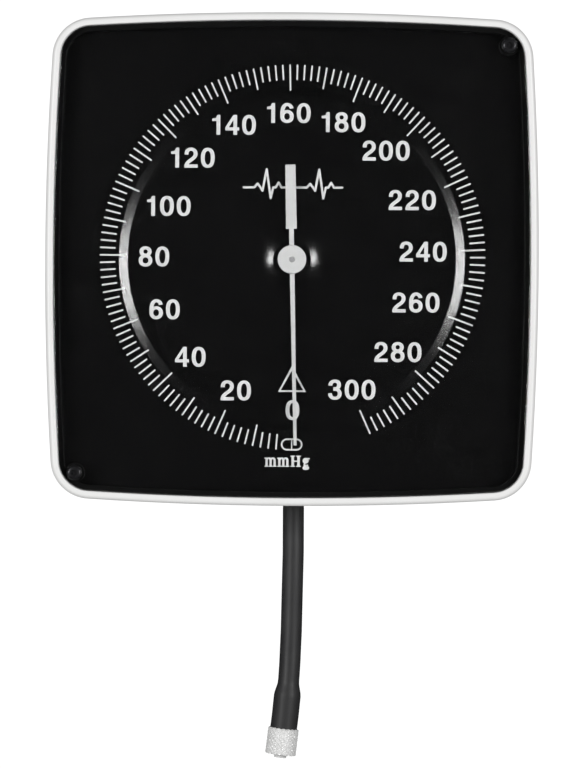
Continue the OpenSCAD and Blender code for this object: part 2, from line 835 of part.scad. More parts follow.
module pillar_screws() {
    head_r = 1.9;
    head_t = 0.9;
    short = plate_t + 2.6;
    long = plate_t + 3.6;
    color("silver") face_frame() union() {
        at_each(rear_pillars) at_height(mid_h + plate_t) pan_screw(head_r, head_t, small_shank_r, long);
        at_each(rear_pillars) at_height(base_h) rotate([180, 0, 0])
            pan_screw(head_r, head_t, small_shank_r, long);
        at_each(front_pillars) at_height(front_h + plate_t) pan_screw(head_r, head_t, small_shank_r, short);
        at_each(front_pillars) at_height(mid_h) rotate([180, 0, 0])
            pan_screw(head_r, head_t, small_shank_r, short);
    }
}

module base_plate_screws() {
    color("silver") face_frame() at_each(base_posts)
        at_height(base_h + base_t) pan_screw(2.4, 1.7, 1.25, 7);
}

// ---- pressure line ----

module inner_tube() {
    color("lightgray") face_frame() swept_tube(tube_route, [for (p = tube_route) tube_d / 2], tube_sides);
}

module hose_nipple() {
    barb_len = 10;
    body_from = 68.5;
    color("silver") face_frame() down_at_hose() difference() {
        union() {
            at_height(body_from) cylinder(r = 3.9, h = nipple_pad_end - body_from + washer_t + eps);
            at_height(nipple_pad_end + washer_t) cylinder(r = 6, h = nipple_flange_t, $fn = 6);
            at_height(flange_end - eps) cylinder(r = 2, h = barb_len);
            for (t = [2, 5]) at_height(flange_end + t) cylinder(r1 = 2.1, r2 = 2.5, h = 2);
            at_height(body_from - 8) cylinder(r = 1.9, h = 8 + eps);
            for (t = [2, 4.5]) at_height(body_from - 2 - t) cylinder(r1 = 1.9, r2 = 2.3, h = 2);
        }
        at_height(body_from - 9) cylinder(r = 1, h = 32);
    }
}

module nipple_nut() {
    color("silver") face_frame() down_at_hose() difference() {
        at_height(cavity_half - 3.1) cylinder(r = 6.6, h = 3, $fn = 6);
        at_height(cavity_half - 4) cylinder(r = 3.9, h = 5);
    }
}

module nipple_washer() {
    color("black") face_frame() down_at_hose() difference() {
        at_height(nipple_pad_end) cylinder(r = 6.2, h = washer_t);
        at_height(nipple_pad_end - 1) cylinder(r = 3.9, h = washer_t + 2);
    }
}

function flare_share(z) = min(1, max(0, (flare_from_z - z) / (flare_from_z - flare_to_z)));

module hose() {
    radii = [for (p = hose_route) (hose_d + (hose_flare_d - hose_d) * flare_share(p.z)) / 2];
    color([0.15, 0.15, 0.15]) swept_tube(hose_route, radii, hose_sides);
}

module luer_body() {
    flange_at = 1.5;
    flange_t = 0.8;
    cone_len = collar_len - flange_at - flange_t;
    color("silver") at_hose_end() difference() {
        union() {
            at_height(-10) cylinder(r = 2.25, h = 10 + flange_at + eps);
            at_height(flange_at) cylinder(r = 3.3, h = flange_t);
            at_height(flange_at + flange_t - eps) cylinder(r1 = 2.16, r2 = 1.97, h = cone_len);
        }
        at_height(-11) cylinder(r = 1, h = collar_len + 13);
    }
}

module luer_collar() {
    ribs = 18;
    rib_in = 0.35;
    outer_r = collar_d / 2;
    recess_r = hose_flare_d / 2 + 0.2;
    knurl = [for (i = [0:2 * ribs - 1]) each [
        polar(i % 2 == 0 ? outer_r : outer_r - rib_in, (i - 0.3) * 180 / ribs),
        polar(i % 2 == 0 ? outer_r : outer_r - rib_in, (i + 0.3) * 180 / ribs)
    ]];
    color("gainsboro") at_hose_end() difference() {
        at_height(-1) linear_extrude(collar_len) polygon(knurl);
        at_height(-2) cylinder(r = recess_r, h = 2.15);
        at_height(0) cylinder(r = 2.25 + 0.08, h = 2);
        at_height(1.4) cylinder(r = 3.75, h = collar_len);
    }
}

front_bezel();
rear_case();
window_panel();
spacer_frame();
dial_plate();
dial_scale_marks();
face_screws();
case_screws();
rear_inserts();
pointer();
pointer_hub();
pinion_arbor();
pivot_bushes();
hairspring();
hairspring_collet();
hairspring_stud();
sector_gear();
sector_shaft();
sector_drive_pin();
rocker_shaft();
rocker_input_lever();
rocker_output_lever();
rocker_brackets();
bracket_screws();
capsule_rear_disc();
capsule_front_disc();
capsule_boss();
capsule_bush();
pressure_socket();
movement_base_plate();
movement_mid_plate();
movement_front_plate();
rear_pillars();
front_pillars();
pillar_screws();
base_plate_screws();
inner_tube();
hose_nipple();
nipple_nut();
nipple_washer();
hose();
luer_body();
luer_collar();
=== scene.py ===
import math

import bmesh
import bpy
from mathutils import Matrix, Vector
from mathutils.geometry import delaunay_2d_cdt


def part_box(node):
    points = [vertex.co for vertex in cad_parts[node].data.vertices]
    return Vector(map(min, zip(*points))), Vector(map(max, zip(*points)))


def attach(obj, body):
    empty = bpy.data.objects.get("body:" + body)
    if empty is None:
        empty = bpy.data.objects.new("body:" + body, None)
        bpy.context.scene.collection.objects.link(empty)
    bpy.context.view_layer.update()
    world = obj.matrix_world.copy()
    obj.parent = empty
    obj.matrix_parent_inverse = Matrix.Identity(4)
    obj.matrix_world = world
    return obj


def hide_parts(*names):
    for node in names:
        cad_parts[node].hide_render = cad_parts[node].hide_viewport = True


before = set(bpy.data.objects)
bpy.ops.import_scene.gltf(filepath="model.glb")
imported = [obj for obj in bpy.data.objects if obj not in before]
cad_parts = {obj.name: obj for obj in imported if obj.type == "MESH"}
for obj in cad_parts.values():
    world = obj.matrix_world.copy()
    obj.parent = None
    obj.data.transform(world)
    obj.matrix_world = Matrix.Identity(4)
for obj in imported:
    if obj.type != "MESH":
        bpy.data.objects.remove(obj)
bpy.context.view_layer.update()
scene = bpy.context.scene
scene.view_settings.view_transform = "Standard"

MM = 0.001


# ---- the face's frame: x to the right, y up, h out from the wall, in millimetres ----

def at(x, y, h):
    return Vector((x, -h, y)) * MM


def levels(node):
    """A CAD node's corners in the face's frame: (x, y, h) lowest and highest, in millimetres."""
    lo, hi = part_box(node)
    return Vector((lo.x, lo.z, -hi.y)) / MM, Vector((hi.x, hi.z, -lo.y)) / MM


bezel_lo, bezel_hi = levels("front_bezel")
_, shell_hi = levels("rear_case")
window_lo, window_hi = levels("window_panel")
_, dial_hi = levels("dial_plate")
marks_lo, _ = levels("dial_scale_marks")
pointer_lo, pointer_hi = levels("pointer")
hub_lo, hub_hi = levels("pointer_hub")
face_screw_lo, face_screw_hi = levels("face_screws")

CASE_HALF = bezel_hi.x
CASE_FRONT = bezel_hi.z
SPLIT = bezel_lo.z  # where the bezel meets the rear shell
CORNER_R = 12.4
SIDE_BOW_R = 1020.0
OPENING_HALF = 74.8
OPENING_R = 9.9
PANEL_HALF = window_hi.x
PANEL_R = 9.7
SHELL_HALF = shell_hi.x
SHELL_R = 11.5
DIAL_T = 1.5
DIAL_FRONT = dial_hi.z
DIAL_BACK = DIAL_FRONT - DIAL_T

# Centres of what repeats behind the dial
CASE_SCREWS = [(x, y) for x in (-60, 60) for y in (-60, 60)]
INSERTS = [(x, y) for x in (-30, 30) for y in (-30, 30)]
MOVEMENT_POSTS = [(x, y) for x in (-34, 34) for y in (-15, 12)]


# ---- camera ----

# In metres: the rim's distance, and the height that the picture takes in at the rim
RIM_TO_CAMERA = 1.448
VIEW_HEIGHT = 0.2400
CAMERA_X, CAMERA_Z = -0.00215, -0.0391
CAMERA_ROLL = -0.28  # degrees
SENSOR = 36
camera = bpy.data.objects.new("Camera", bpy.data.cameras.new("Camera"))
scene.collection.objects.link(camera)
scene.camera = camera
camera.data.sensor_width = SENSOR
camera.data.lens = SENSOR * RIM_TO_CAMERA / VIEW_HEIGHT
camera.data.clip_end = 60
camera.location = (CAMERA_X, -CASE_FRONT * MM - RIM_TO_CAMERA, CAMERA_Z)
camera.rotation_euler = (math.radians(90), math.radians(CAMERA_ROLL), 0)


# ---- mesh helpers ----

def mark_sharp(mesh, angle):
    """Smooth shading, with the edges sharper than angle kept as creases."""
    work = bmesh.new()
    work.from_mesh(mesh)
    for f in work.faces:
        f.smooth = True
    for e in work.edges:
        e.smooth = not (len(e.link_faces) == 2 and e.calc_face_angle(0) > math.radians(angle))
    work.to_mesh(mesh)
    work.free()


def piece(name, verts, faces, material, slot=None, body="case", replaces=(), angle=32):
    """A new piece from verts and faces, riding on a body."""
    mesh = bpy.data.meshes.new(name)
    mesh.from_pydata([tuple(v) for v in verts], [], faces)
    work = bmesh.new()
    work.from_mesh(mesh)
    bmesh.ops.remove_doubles(work, verts=work.verts, dist=1e-7)
    bmesh.ops.recalc_face_normals(work, faces=work.faces)
    work.to_mesh(mesh)
    work.free()
    return place(name, mesh, material, body, replaces, angle)


def place(name, mesh, material, body, replaces, angle):
    """A new piece from a finished mesh, riding on a body."""
    mark_sharp(mesh, angle)
    mesh.materials.clear()
    mesh.materials.append(material)
    obj = bpy.data.objects.new(name, mesh)
    scene.collection.objects.link(obj)
    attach(obj, body)
    if replaces:
        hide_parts(*replaces)
    return obj


def loft(rings, ring_of_rings=False, cap=False):
    """Faces between rings with the same number of points. The last ring may join the first."""
    n = len(rings[0])
    verts = [p for ring in rings for p in ring]
    faces = []
    for i in range(len(rings) if ring_of_rings else len(rings) - 1):
        a = i * n
        b = (i + 1) % len(rings) * n
        faces += [(a + j, a + (j + 1) % n, b + (j + 1) % n, b + j) for j in range(n)]
    if cap:
        faces.append(tuple(range(n - 1, -1, -1)))
        faces.append(tuple(range((len(rings) - 1) * n, len(rings) * n)))
    return verts, faces


def joined(*parts):
    """Several (verts, faces) as one."""
    verts, faces = [], []
    for v, f in parts:
        faces += [tuple(i + len(verts) for i in face) for face in f]
        verts += v
    return verts, faces


def raw(verts, faces):
    """A plain mesh object for cutting with."""
    mesh = bpy.data.meshes.new("cutter")
    mesh.from_pydata([tuple(v) for v in verts], [], faces)
    work = bmesh.new()
    work.from_mesh(mesh)
    bmesh.ops.recalc_face_normals(work, faces=work.faces)
    work.to_mesh(mesh)
    work.free()
    obj = bpy.data.objects.new("cutter", mesh)
    scene.collection.objects.link(obj)
    return obj


def boolean(verts, faces, steps):
    """The mesh of a solid after each ("UNION" or "DIFFERENCE", (verts, faces)) step."""
    base = raw(verts, faces)
    cutters = []
    for operation, (v, f) in steps:
        cutter = raw(v, f)
        cutters.append(cutter)
        modifier = base.modifiers.new("cut", "BOOLEAN")
        modifier.operation = operation
        modifier.solver = "EXACT"
        modifier.object = cutter
    bpy.context.view_layer.update()
    graph = bpy.context.evaluated_depsgraph_get()
    mesh = bpy.data.meshes.new_from_object(base.evaluated_get(graph))
    for o in [base, *cutters]:
        bpy.data.objects.remove(o)
    return mesh


# ---- outlines ----

def bowed_square(half, round_r, side_steps=14, corner_steps=16):
    """A square with four bowed sides, each half from the centre, and tangent round corners."""
    big = SIDE_BOW_R
    c = (math.sqrt(2 * (big - round_r) ** 2 - (big - half) ** 2) - (big - half)) / 2
    a = math.atan2(c, c - half + big)
    quarter = []
    for i in range(side_steps):
        t = -a + i * 2 * a / side_steps
        quarter.append((half - big + big * math.cos(t), big * math.sin(t)))
    for i in range(corner_steps):
        t = a + i * (math.pi / 2 - 2 * a) / corner_steps
        quarter.append((c + round_r * math.cos(t), c + round_r * math.sin(t)))
    points = []
    for q in range(4):
        s, k = math.sin(q * math.pi / 2), math.cos(q * math.pi / 2)
        points += [(x * k - y * s, x * s + y * k) for x, y in quarter]
    return points


def outline_ring(half, round_r, h):
    return [at(x, y, h) for x, y in bowed_square(half, round_r)]


def circle_ring(r, h, steps=96, centre=(0, 0)):
    return [at(centre[0] + r * math.cos(2 * math.pi * i / steps),
               centre[1] + r * math.sin(2 * math.pi * i / steps), h) for i in range(steps)]


def turned(profile, centre=(0, 0), steps=96, ring_of_rings=False, cap=True):
    """A solid of revolution about an axis square to the wall, from (r, h) pairs."""
    return loft([circle_ring(r, h, steps, centre) for r, h in profile], ring_of_rings,
                cap and not ring_of_rings)


def round_corner(r, centre_a, centre_b, start, end, steps):
    """Points of an arc, angles in degrees."""
    return [(centre_a + r * math.cos(math.radians(start + (end - start) * i / steps)),
             centre_b + r * math.sin(math.radians(start + (end - start) * i / steps)))
            for i in range(steps + 1)]


# ---- materials ----

class Nodes:
    """A material and short ways to add to its node tree."""

    def __init__(self, name):
        self.material = bpy.data.materials.new(name)
        self.material.use_nodes = True
        self.tree = self.material.node_tree
        self.shader = self.tree.nodes["Principled BSDF"]
        self.where = self.add("ShaderNodeTexCoord").outputs["Object"]

    def add(self, kind, **values):
        node = self.tree.nodes.new(kind)
        for key, value in values.items():
            if hasattr(node, key):
                setattr(node, key, value)
            else:
                node.inputs[key.replace("_", " ")].default_value = value
        return node

    def link(self, a, b):
        self.tree.links.new(a, b)

    def noise(self, scale, detail=3.0, rough=0.55, stretch=None, distortion=0.0):
        node = self.add("ShaderNodeTexNoise", Scale=scale, Detail=detail, Roughness=rough,
                        Distortion=distortion)
        where = self.where
        if stretch:
            mapping = self.add("ShaderNodeMapping")
            mapping.inputs["Scale"].default_value = stretch
            self.link(self.where, mapping.inputs["Vector"])
            where = mapping.outputs["Vector"]
        self.link(where, node.inputs["Vector"])
        return node.outputs["Fac"]

    def spread(self, source, low, high, from_low=0.3, from_high=0.7):
        node = self.add("ShaderNodeMapRange")
        node.inputs["From Min"].default_value = from_low
        node.inputs["From Max"].default_value = from_high
        node.inputs["To Min"].default_value = low
        node.inputs["To Max"].default_value = high
        self.link(source, node.inputs["Value"])
        return node.outputs["Result"]

    def mix(self, share, a, b):
        node = self.add("ShaderNodeMix", data_type="RGBA")
        node.inputs["A"].default_value = (*a, 1)
        node.inputs["B"].default_value = (*b, 1)
        self.link(share, node.inputs["Factor"])
        return node.outputs["Result"]

    def bump(self, height, depth, strength=1.0, after=None):
        node = self.add("ShaderNodeBump", Strength=strength, Distance=depth)
        self.link(height, node.inputs["Height"])
        if after is not None:
            self.link(after, node.inputs["Normal"])
        return node.outputs["Normal"]

    def set(self, **values):
        for key, value in values.items():
            self.shader.inputs[key.replace("_", " ")].default_value = value

    def colour(self, source):
        self.link(source, self.shader.inputs["Base Color"])

    def roughness(self, source):
        self.link(source, self.shader.inputs["Roughness"])

    def normal(self, source):
        self.link(source, self.shader.inputs["Normal"])


def finish_of(name, light, dark, rough, metal=0.0, patch=90.0, grain=2600.0, depth=0.00001,
              stretch=None, specular=0.5, coat=0.0):
    """A surface with slow colour patches, uneven gloss and a fine grain."""
    n = Nodes(name)
    n.set(Metallic=metal, Specular_IOR_Level=specular, Coat_Weight=coat)
    n.colour(n.mix(n.spread(n.noise(patch, 4), 0.0, 1.0), light, dark))
    n.roughness(n.spread(n.noise(patch * 3.1, 5, stretch=stretch), *rough))
    n.normal(n.bump(n.noise(grain, 3, 0.6, stretch=stretch), depth))
    return n.material


def window_material():
    """Clear acrylic that lets light from the lamps through."""
    n = Nodes("window_acrylic")
    n.set(Transmission_Weight=1.0, IOR=1.49)
    n.shader.inputs["Base Color"].default_value = (0.985, 0.99, 0.99, 1)
    n.roughness(n.spread(n.noise(420, 3), 0.0, 0.012))
    clear = n.add("ShaderNodeBsdfTransparent")
    path = n.add("ShaderNodeLightPath")
    both = n.add("ShaderNodeMixShader")
    n.link(path.outputs["Is Shadow Ray"], both.inputs["Fac"])
    n.link(n.shader.outputs["BSDF"], both.inputs[1])
    n.link(clear.outputs["BSDF"], both.inputs[2])
    n.link(both.outputs["Shader"], n.tree.nodes["Material Output"].inputs["Surface"])
    return n.material


def rubber_material():
    """Extruded rubber: faint lines along the hose over a fine grain."""
    n = Nodes("hose_rubber")
    n.set(Specular_IOR_Level=0.5)
    n.colour(n.mix(n.spread(n.noise(130, 4), 0.0, 1.0), (0.030, 0.030, 0.031), (0.022, 0.022, 0.023)))
    n.roughness(n.spread(n.noise(700, 4, stretch=(1, 1, 0.06)), 0.46, 0.58))
    lines = n.bump(n.noise(2200, 2, stretch=(1, 1, 0.02)), 0.000012)
    n.normal(n.bump(n.noise(4200, 2), 0.000008, after=lines))
    return n.material


def brushed_material(name, light, dark, rough, metal=0.75):
    """Turned or brushed metal, with its grain round the object's axis."""
    n = Nodes(name)
    n.set(Metallic=metal)
    n.colour(n.mix(n.spread(n.noise(240, 5), 0.0, 1.0), light, dark))
    n.roughness(n.spread(n.noise(900, 4, stretch=(1, 1, 9)), *rough))
    n.normal(n.bump(n.noise(3000, 2, stretch=(1, 1, 12)), 0.000004))
    return n.material


MATERIALS = {
    "case_white": finish_of("case_white", (0.83, 0.83, 0.825), (0.80, 0.80, 0.79), (0.30, 0.42),
                            patch=60, grain=1700, depth=0.000012),
    "window_clear": window_material(),
    "dial_black": finish_of("dial_black", (0.0010, 0.0010, 0.0011), (0.0006, 0.0006, 0.0007), (0.165, 0.205),
                            patch=45, grain=700, depth=0.0000005, specular=0.68),
    "frame_black": finish_of("frame_black", (0.004, 0.004, 0.004), (0.0025, 0.0025, 0.0025), (0.6, 0.75),
                             grain=2200, depth=0.00001, specular=0.15),
    "print_white": finish_of("print_white", (0.55, 0.55, 0.547), (0.51, 0.51, 0.507), (0.5, 0.7),
                             patch=700, grain=5200, depth=0.000006),
    "black_screw": finish_of("black_screw", (0.035, 0.035, 0.038), (0.018, 0.018, 0.02), (0.24, 0.36),
                             metal=0.6, patch=600, grain=5200, depth=0.000004),
    "zinc_screw": brushed_material("zinc_screw", (0.66, 0.68, 0.70), (0.52, 0.55, 0.60), (0.22, 0.38)),
    "brass": brushed_material("brass", (0.80, 0.60, 0.28), (0.66, 0.47, 0.20), (0.22, 0.36)),
    "pointer_white": finish_of("pointer_white", (0.48, 0.48, 0.478), (0.455, 0.455, 0.453), (0.42, 0.55),
                               patch=300, grain=3600, depth=0.000006),
    "hairspring_bronze": brushed_material("hairspring_bronze", (0.62, 0.40, 0.22), (0.50, 0.30, 0.16),
                                          (0.22, 0.32)),
    "steel": brushed_material("steel", (0.60, 0.60, 0.61), (0.48, 0.48, 0.50), (0.26, 0.42)),
    "plate_brass": brushed_material("plate_brass", (0.76, 0.58, 0.30), (0.62, 0.46, 0.22), (0.30, 0.46)),
    "capsule_bronze": brushed_material("capsule_bronze", (0.66, 0.46, 0.28), (0.54, 0.36, 0.20),
                                       (0.26, 0.38)),
    "tube_clear": finish_of("tube_silicone", (0.72, 0.70, 0.66), (0.62, 0.60, 0.55), (0.36, 0.5),
                            patch=120, grain=2400, depth=0.00001),
    "nickel": brushed_material("nickel", (0.96, 0.96, 0.955), (0.90, 0.90, 0.89), (0.34, 0.46), 0.3),
    "washer_rubber": finish_of("washer_rubber", (0.024, 0.024, 0.025), (0.014, 0.014, 0.015), (0.6, 0.75),
                               grain=3200, depth=0.00002),
    "hose_rubber": rubber_material(),
}

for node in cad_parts.values():
    for material_slot in node.material_slots:
        slot_name = material_slot.material.name.split(".")[0]
        material_slot.material = MATERIALS[slot_name]


# ---- hose and its connector ----

HOSE_ROUTE = [
    (0.9, -18, -77.8), (0.9, -18, -83), (0.9, -18, -88), (0.9, -18, -93),
    (0.8, -18, -98), (0.7, -18, -103), (0.6, -18, -108), (0.5, -18, -113),
    (0.4, -18, -118), (0.2, -18, -123), (0, -18, -128), (-0.3, -18, -133),
    (-0.6, -18, -137), (-1, -18, -141), (-1.4, -18, -145), (-2, -18, -150),
]
HOSE_X = 0.9
HOSE_H = 18  # out from the wall
HOSE_D = 6.8
HOSE_BORE_R = 2.0

# The hose swells over the connector's barb
FLARE_D = 8.6
FLARE_FROM = -134.0
FLARE_TO = -139.0
BARB_BORE_R = 2.3


def smooth_route(points, per_span):
    """A Catmull-Rom curve through the route's points."""
    pts = [Vector(p) for p in points]
    pts = [2 * pts[0] - pts[1]] + pts + [2 * pts[-1] - pts[-2]]
    out = []
    for i in range(1, len(pts) - 2):
        p0, p1, p2, p3 = pts[i - 1:i + 3]
        for j in range(per_span):
            t = j / per_span
            out.append(0.5 * (2 * p1 + (p2 - p0) * t + (2 * p0 - 5 * p1 + 4 * p2 - p3) * t * t
                              + (3 * p1 - p0 - 3 * p2 + p3) * t * t * t))
    out.append(pts[-2])
    return out


def tube_ring(centre, way, r, steps):
    """A circle about a point of the route, square to the way that it runs."""
    w = way.normalized()
    u = w.cross(Vector((0, 1, 0))).normalized()
    v = w.cross(u)
    return [(centre + r * math.cos(2 * math.pi * i / steps) * u
             + r * math.sin(2 * math.pi * i / steps) * v) * MM for i in range(steps)]


def smoothstep(t):
    t = min(1.0, max(0.0, t))
    return t * t * (3 - 2 * t)


def hose_radius(z):
    swell = smoothstep((FLARE_FROM - z) / (FLARE_FROM - FLARE_TO))
    return HOSE_D / 2 + (FLARE_D - HOSE_D) / 2 * swell


def make_hose():
    """The hose with its bore, its outside edges rounded at both ends."""
    steps = 48
    edge = 0.5
    route = smooth_route(HOSE_ROUTE, 5)
    last = len(route) - 1
    ways = [route[min(i + 1, last)] - route[max(i - 1, 0)] for i in range(last + 1)]
    radii = [hose_radius(p.z) for p in route]
    rings = []
    way = ways[0].normalized()
    for r, s in round_corner(edge, HOSE_D / 2 - edge, edge, -90, 0, 4)[:-1]:
        rings.append(tube_ring(route[0] + way * s, way, r, steps))
    rings += [tube_ring(route[i], ways[i], radii[i], steps) for i in range(1, last)]
    way = ways[last].normalized()
    for r, s in round_corner(edge, FLARE_D / 2 - edge, -edge, 0, 90, 4):
        rings.append(tube_ring(route[last] + way * s, way, r, steps))
    rings.append(tube_ring(route[last], way, BARB_BORE_R, steps))
    for i in range(last - 1, 0, -1):
        bore_r = BARB_BORE_R if route[i].z < FLARE_TO else HOSE_BORE_R
        rings.append(tube_ring(route[i], ways[i], bore_r, steps))
    rings.append(tube_ring(route[0], ways[0], HOSE_BORE_R, steps))
    verts, faces = loft(rings, ring_of_rings=True)
    return piece("hose_tube", verts, faces, MATERIALS["hose_rubber"], "hose_rubber", "case", ["hose"], 40)


hose = make_hose()
hose_end = Vector(HOSE_ROUTE[-1])
hose_way = (hose_end - Vector(HOSE_ROUTE[-2])).normalized()
side_way = hose_way.cross(Vector((0, 1, 0))).normalized()
front_way = Vector((0, -1, 0))


def along(s, r, angle):
    """A point on the connector: s along its axis from the hose's end, r and angle about it."""
    return (hose_end + hose_way * s
            + side_way * (r * math.cos(angle)) + front_way * (r * math.sin(angle))) * MM


def axis_rings(profile, steps):
    """Rings about the connector's axis, from (r, s) pairs."""
    return [[along(s, r, 2 * math.pi * i / steps) for i in range(steps)] for r, s in profile]


def make_collar():
    """The knurled lock ring. Its ribs run out into round lobes at the hose's end."""
    ribs = 18
    steps = ribs * 12
    outer, inset = 4.95, 0.5
    knurl_depth = 0.42
    lobe_height = 0.45
    top, bottom = -1.0, 7.6
    recess, bore, neck = 4.5, 3.75, 2.33
    web = (0.15, 1.4)

    def groove(angle, s):
        """How deep the crossed grooves of the knurl run here, 0 to 1."""
        lean = 0.62 * s
        one = 1 - abs(math.sin((angle + 0.35 * lean) * ribs / 2))
        other = 1 - abs(math.sin((angle - 0.55 * lean) * ribs / 2 + 0.4))
        return max(one ** 1.5, 0.8 * other ** 2.2)

    # (s along the axis, share of the full radius that the rounded ends have reached)
    stations = [(top + 0.02, 0.0), (top + 0.16, 0.55), (top + 0.42, 0.9), (top + 0.8, 1.0)]
    stations += [(top + 0.8 + (bottom - 0.7 - top - 0.8) * i / 26, 1.0) for i in range(1, 27)]
    stations += [(bottom - 0.35, 0.92), (bottom - 0.12, 0.6), (bottom, 0.0)]
    rings = []
    for s, share in stations:
        ring = []
        for i in range(steps):
            a = 2 * math.pi * i / steps
            lobe = lobe_height * (1 - abs(math.sin(a * ribs / 2))) ** 1.5 if s < top + 0.5 else 0.0
            r = outer - knurl_depth * groove(a, s) - inset * (1 - share) ** 2
            ring.append(along(s + lobe * (1 - (s - top) / 0.5), r, a))
        rings.append(ring)
    inner = [(bore + 0.25, bottom), (bore, bottom - 0.25), (bore, web[1]), (neck, web[1]), (neck, web[0]),
             (recess, web[0]), (recess, top + 0.25)]
    rings += axis_rings(inner, steps)
    verts, faces = loft(rings, ring_of_rings=True)
    return piece("lock_ring", verts, faces, MATERIALS["nickel"], "nickel", "lock_ring", ["luer_collar"], 28)


def make_luer_body():
    """The luer nozzle: a shank inside the hose, a flange inside the ring, and the taper with its lumen."""
    lumen = 1.0
    shank = [(lumen, -9.9), (2.05, -9.9), (2.25, -9.5), (2.25, 1.5)]
    flange = [(3.15, 1.5), (3.3, 1.65), (3.3, 2.15), (3.15, 2.3)]
    taper = [(2.16, 2.3), (1.99, 8.35), (1.93, 8.53), (1.8, 8.6), (1.12, 8.6), (lumen, 8.45)]
    verts, faces = loft(axis_rings(shank + flange + taper, 64), ring_of_rings=True)
    return piece("luer_nozzle", verts, faces, MATERIALS["nickel"], "nickel", "case", ["luer_body"], 30)


lock_ring = make_collar()
luer_nozzle = make_luer_body()


# ---- case ----

def make_bezel():
    """The front frame: a rounded rim, a lip at the window, a ledge under the dial, and four screw posts."""
    rim_r, squash, rim_steps = 2.2, 0.6, 10
    edge, lip = 0.25, 0.35
    outer = [(CASE_HALF - edge, CORNER_R - edge, SPLIT), (CASE_HALF, CORNER_R, SPLIT + edge)]
    outer.append((CASE_HALF, CORNER_R, CASE_FRONT - rim_r - 3))
    for i in range(rim_steps + 1):
        t = math.radians(90 * i / rim_steps)
        inset = rim_r * squash * (1 - math.cos(t))
        outer.append((CASE_HALF - inset, CORNER_R - inset, CASE_FRONT - rim_r + rim_r * math.sin(t)))
    for half, h in round_corner(lip, OPENING_HALF + lip, CASE_FRONT - lip, 90, 180, 4):
        outer.append((half, OPENING_R + half - OPENING_HALF, h))
    ledge_half, ledge_r = 70.0, 11.0
    ledge_back = DIAL_BACK - 2
    inside = [(OPENING_HALF, OPENING_R, DIAL_BACK), (ledge_half, ledge_r, DIAL_BACK),
              (ledge_half, ledge_r, ledge_back), (OPENING_HALF, OPENING_R, ledge_back),
              (OPENING_HALF, OPENING_R, SPLIT)]
    verts, faces = loft([outline_ring(*p) for p in outer + inside], ring_of_rings=True)

    # Each post hangs from a square web that reaches from the ledge into the corner
    post_r, pilot_r, pilot_depth = 3.6, 1.5, 6
    inward, outward = 8, 11
    steps = []
    for x, y in CASE_SCREWS:
        steps.append(("UNION", turned([(post_r, SPLIT), (post_r, DIAL_BACK - 0.5)], (x, y), 40)))
        sx, sy = math.copysign(1, x), math.copysign(1, y)
        corners = [(x - sx * inward, y - sy * inward), (x + sx * outward, y - sy * inward),
                   (x + sx * outward, y + sy * outward), (x - sx * inward, y + sy * outward)]
        web = [[at(px, py, h) for px, py in corners] for h in (ledge_back, DIAL_BACK)]
        steps.append(("UNION", loft(web, cap=True)))
    for xy in CASE_SCREWS:
        pilot = [(pilot_r, SPLIT - 1), (pilot_r, SPLIT + pilot_depth)]
        steps.append(("DIFFERENCE", turned(pilot, xy, 32)))
    return boolean(verts, faces, steps)


place("bezel_rim", make_bezel(), MATERIALS["case_white"], "case", ["front_bezel"], 30)


def make_shell():
    """The rear tray: a rounded back, a spigot inside the bezel, posts, screw holes and the hose's way out."""
    # (inset from the shell's side, height above the wall)
    round_over = [(3.4, 0.0), (2.75, 0.15), (2.15, 0.6), (1.7, 1.3), (1.3, 2.3), (0.95, 3.6), (0.75, 6.0),
                  (0.0, SPLIT - 0.15), (0.15, SPLIT)]
    spigot = (74.5, 9.6)
    cavity = (72.3, 8.0)
    chamfer = 0.3
    floor = 2.5
    top = SPLIT + 6
    rings = [outline_ring(SHELL_HALF - inset, SHELL_R - inset, h) for inset, h in round_over]
    rings += [outline_ring(*spigot, SPLIT), outline_ring(*spigot, top - chamfer),
              outline_ring(spigot[0] - chamfer, spigot[1] - chamfer, top), outline_ring(*cavity, top),
              outline_ring(*cavity, floor)]
    verts, faces = loft(rings, cap=True)
    post_foot = floor - 0.2
    steps = []

    def post(r, high, xy):
        steps.append(("UNION", turned([(r, post_foot), (r, high)], xy, 48)))

    def hole(r, low, high, xy):
        steps.append(("DIFFERENCE", turned([(r, low), (r, high)], xy, 48)))

    def down(r, start, end):
        """A rod on the hose's upright line, between two depths below the case's centre."""
        turn = [2 * math.pi * i / 64 for i in range(64)]
        rod = [[Vector((HOSE_X + r * math.cos(a), -HOSE_H + r * math.sin(a), -z)) * MM for a in turn]
               for z in (start, end)]
        return loft(rod, cap=True)

    steps.append(("UNION", down(8.0, 72.0, 75.8)))
    for xy in CASE_SCREWS:
        post(4.4, SPLIT, xy)
    for xy in INSERTS:
        post(5.0, 10.3, xy)
    for xy in MOVEMENT_POSTS:
        post(3.5, 11.0, xy)
    for xy in CASE_SCREWS:
        hole(3.1, -1, 22.0, xy)
        hole(1.65, 21, SPLIT + 1, xy)
    for xy in INSERTS:
        hole(2.9, -1, 8.0, xy)
    for xy in MOVEMENT_POSTS:
        hole(1.25, 5.0, 12.0, xy)
    steps.append(("DIFFERENCE", down(4.0, 68.3, 80.0)))
    return boolean(verts, faces, steps)


place("rear_shell", make_shell(), MATERIALS["case_white"], "case", ["rear_case"], 30)


FACE_SCREW_SINK = 1.2
FACE_SCREW_HOLE_R = 1.45


def screw_places():
    """The two face screws' centres, from their CAD node's corners."""
    head_r = 2.4
    x, y = face_screw_hi.x - head_r, face_screw_hi.y - head_r
    return [(x, y), (-x, -y)]


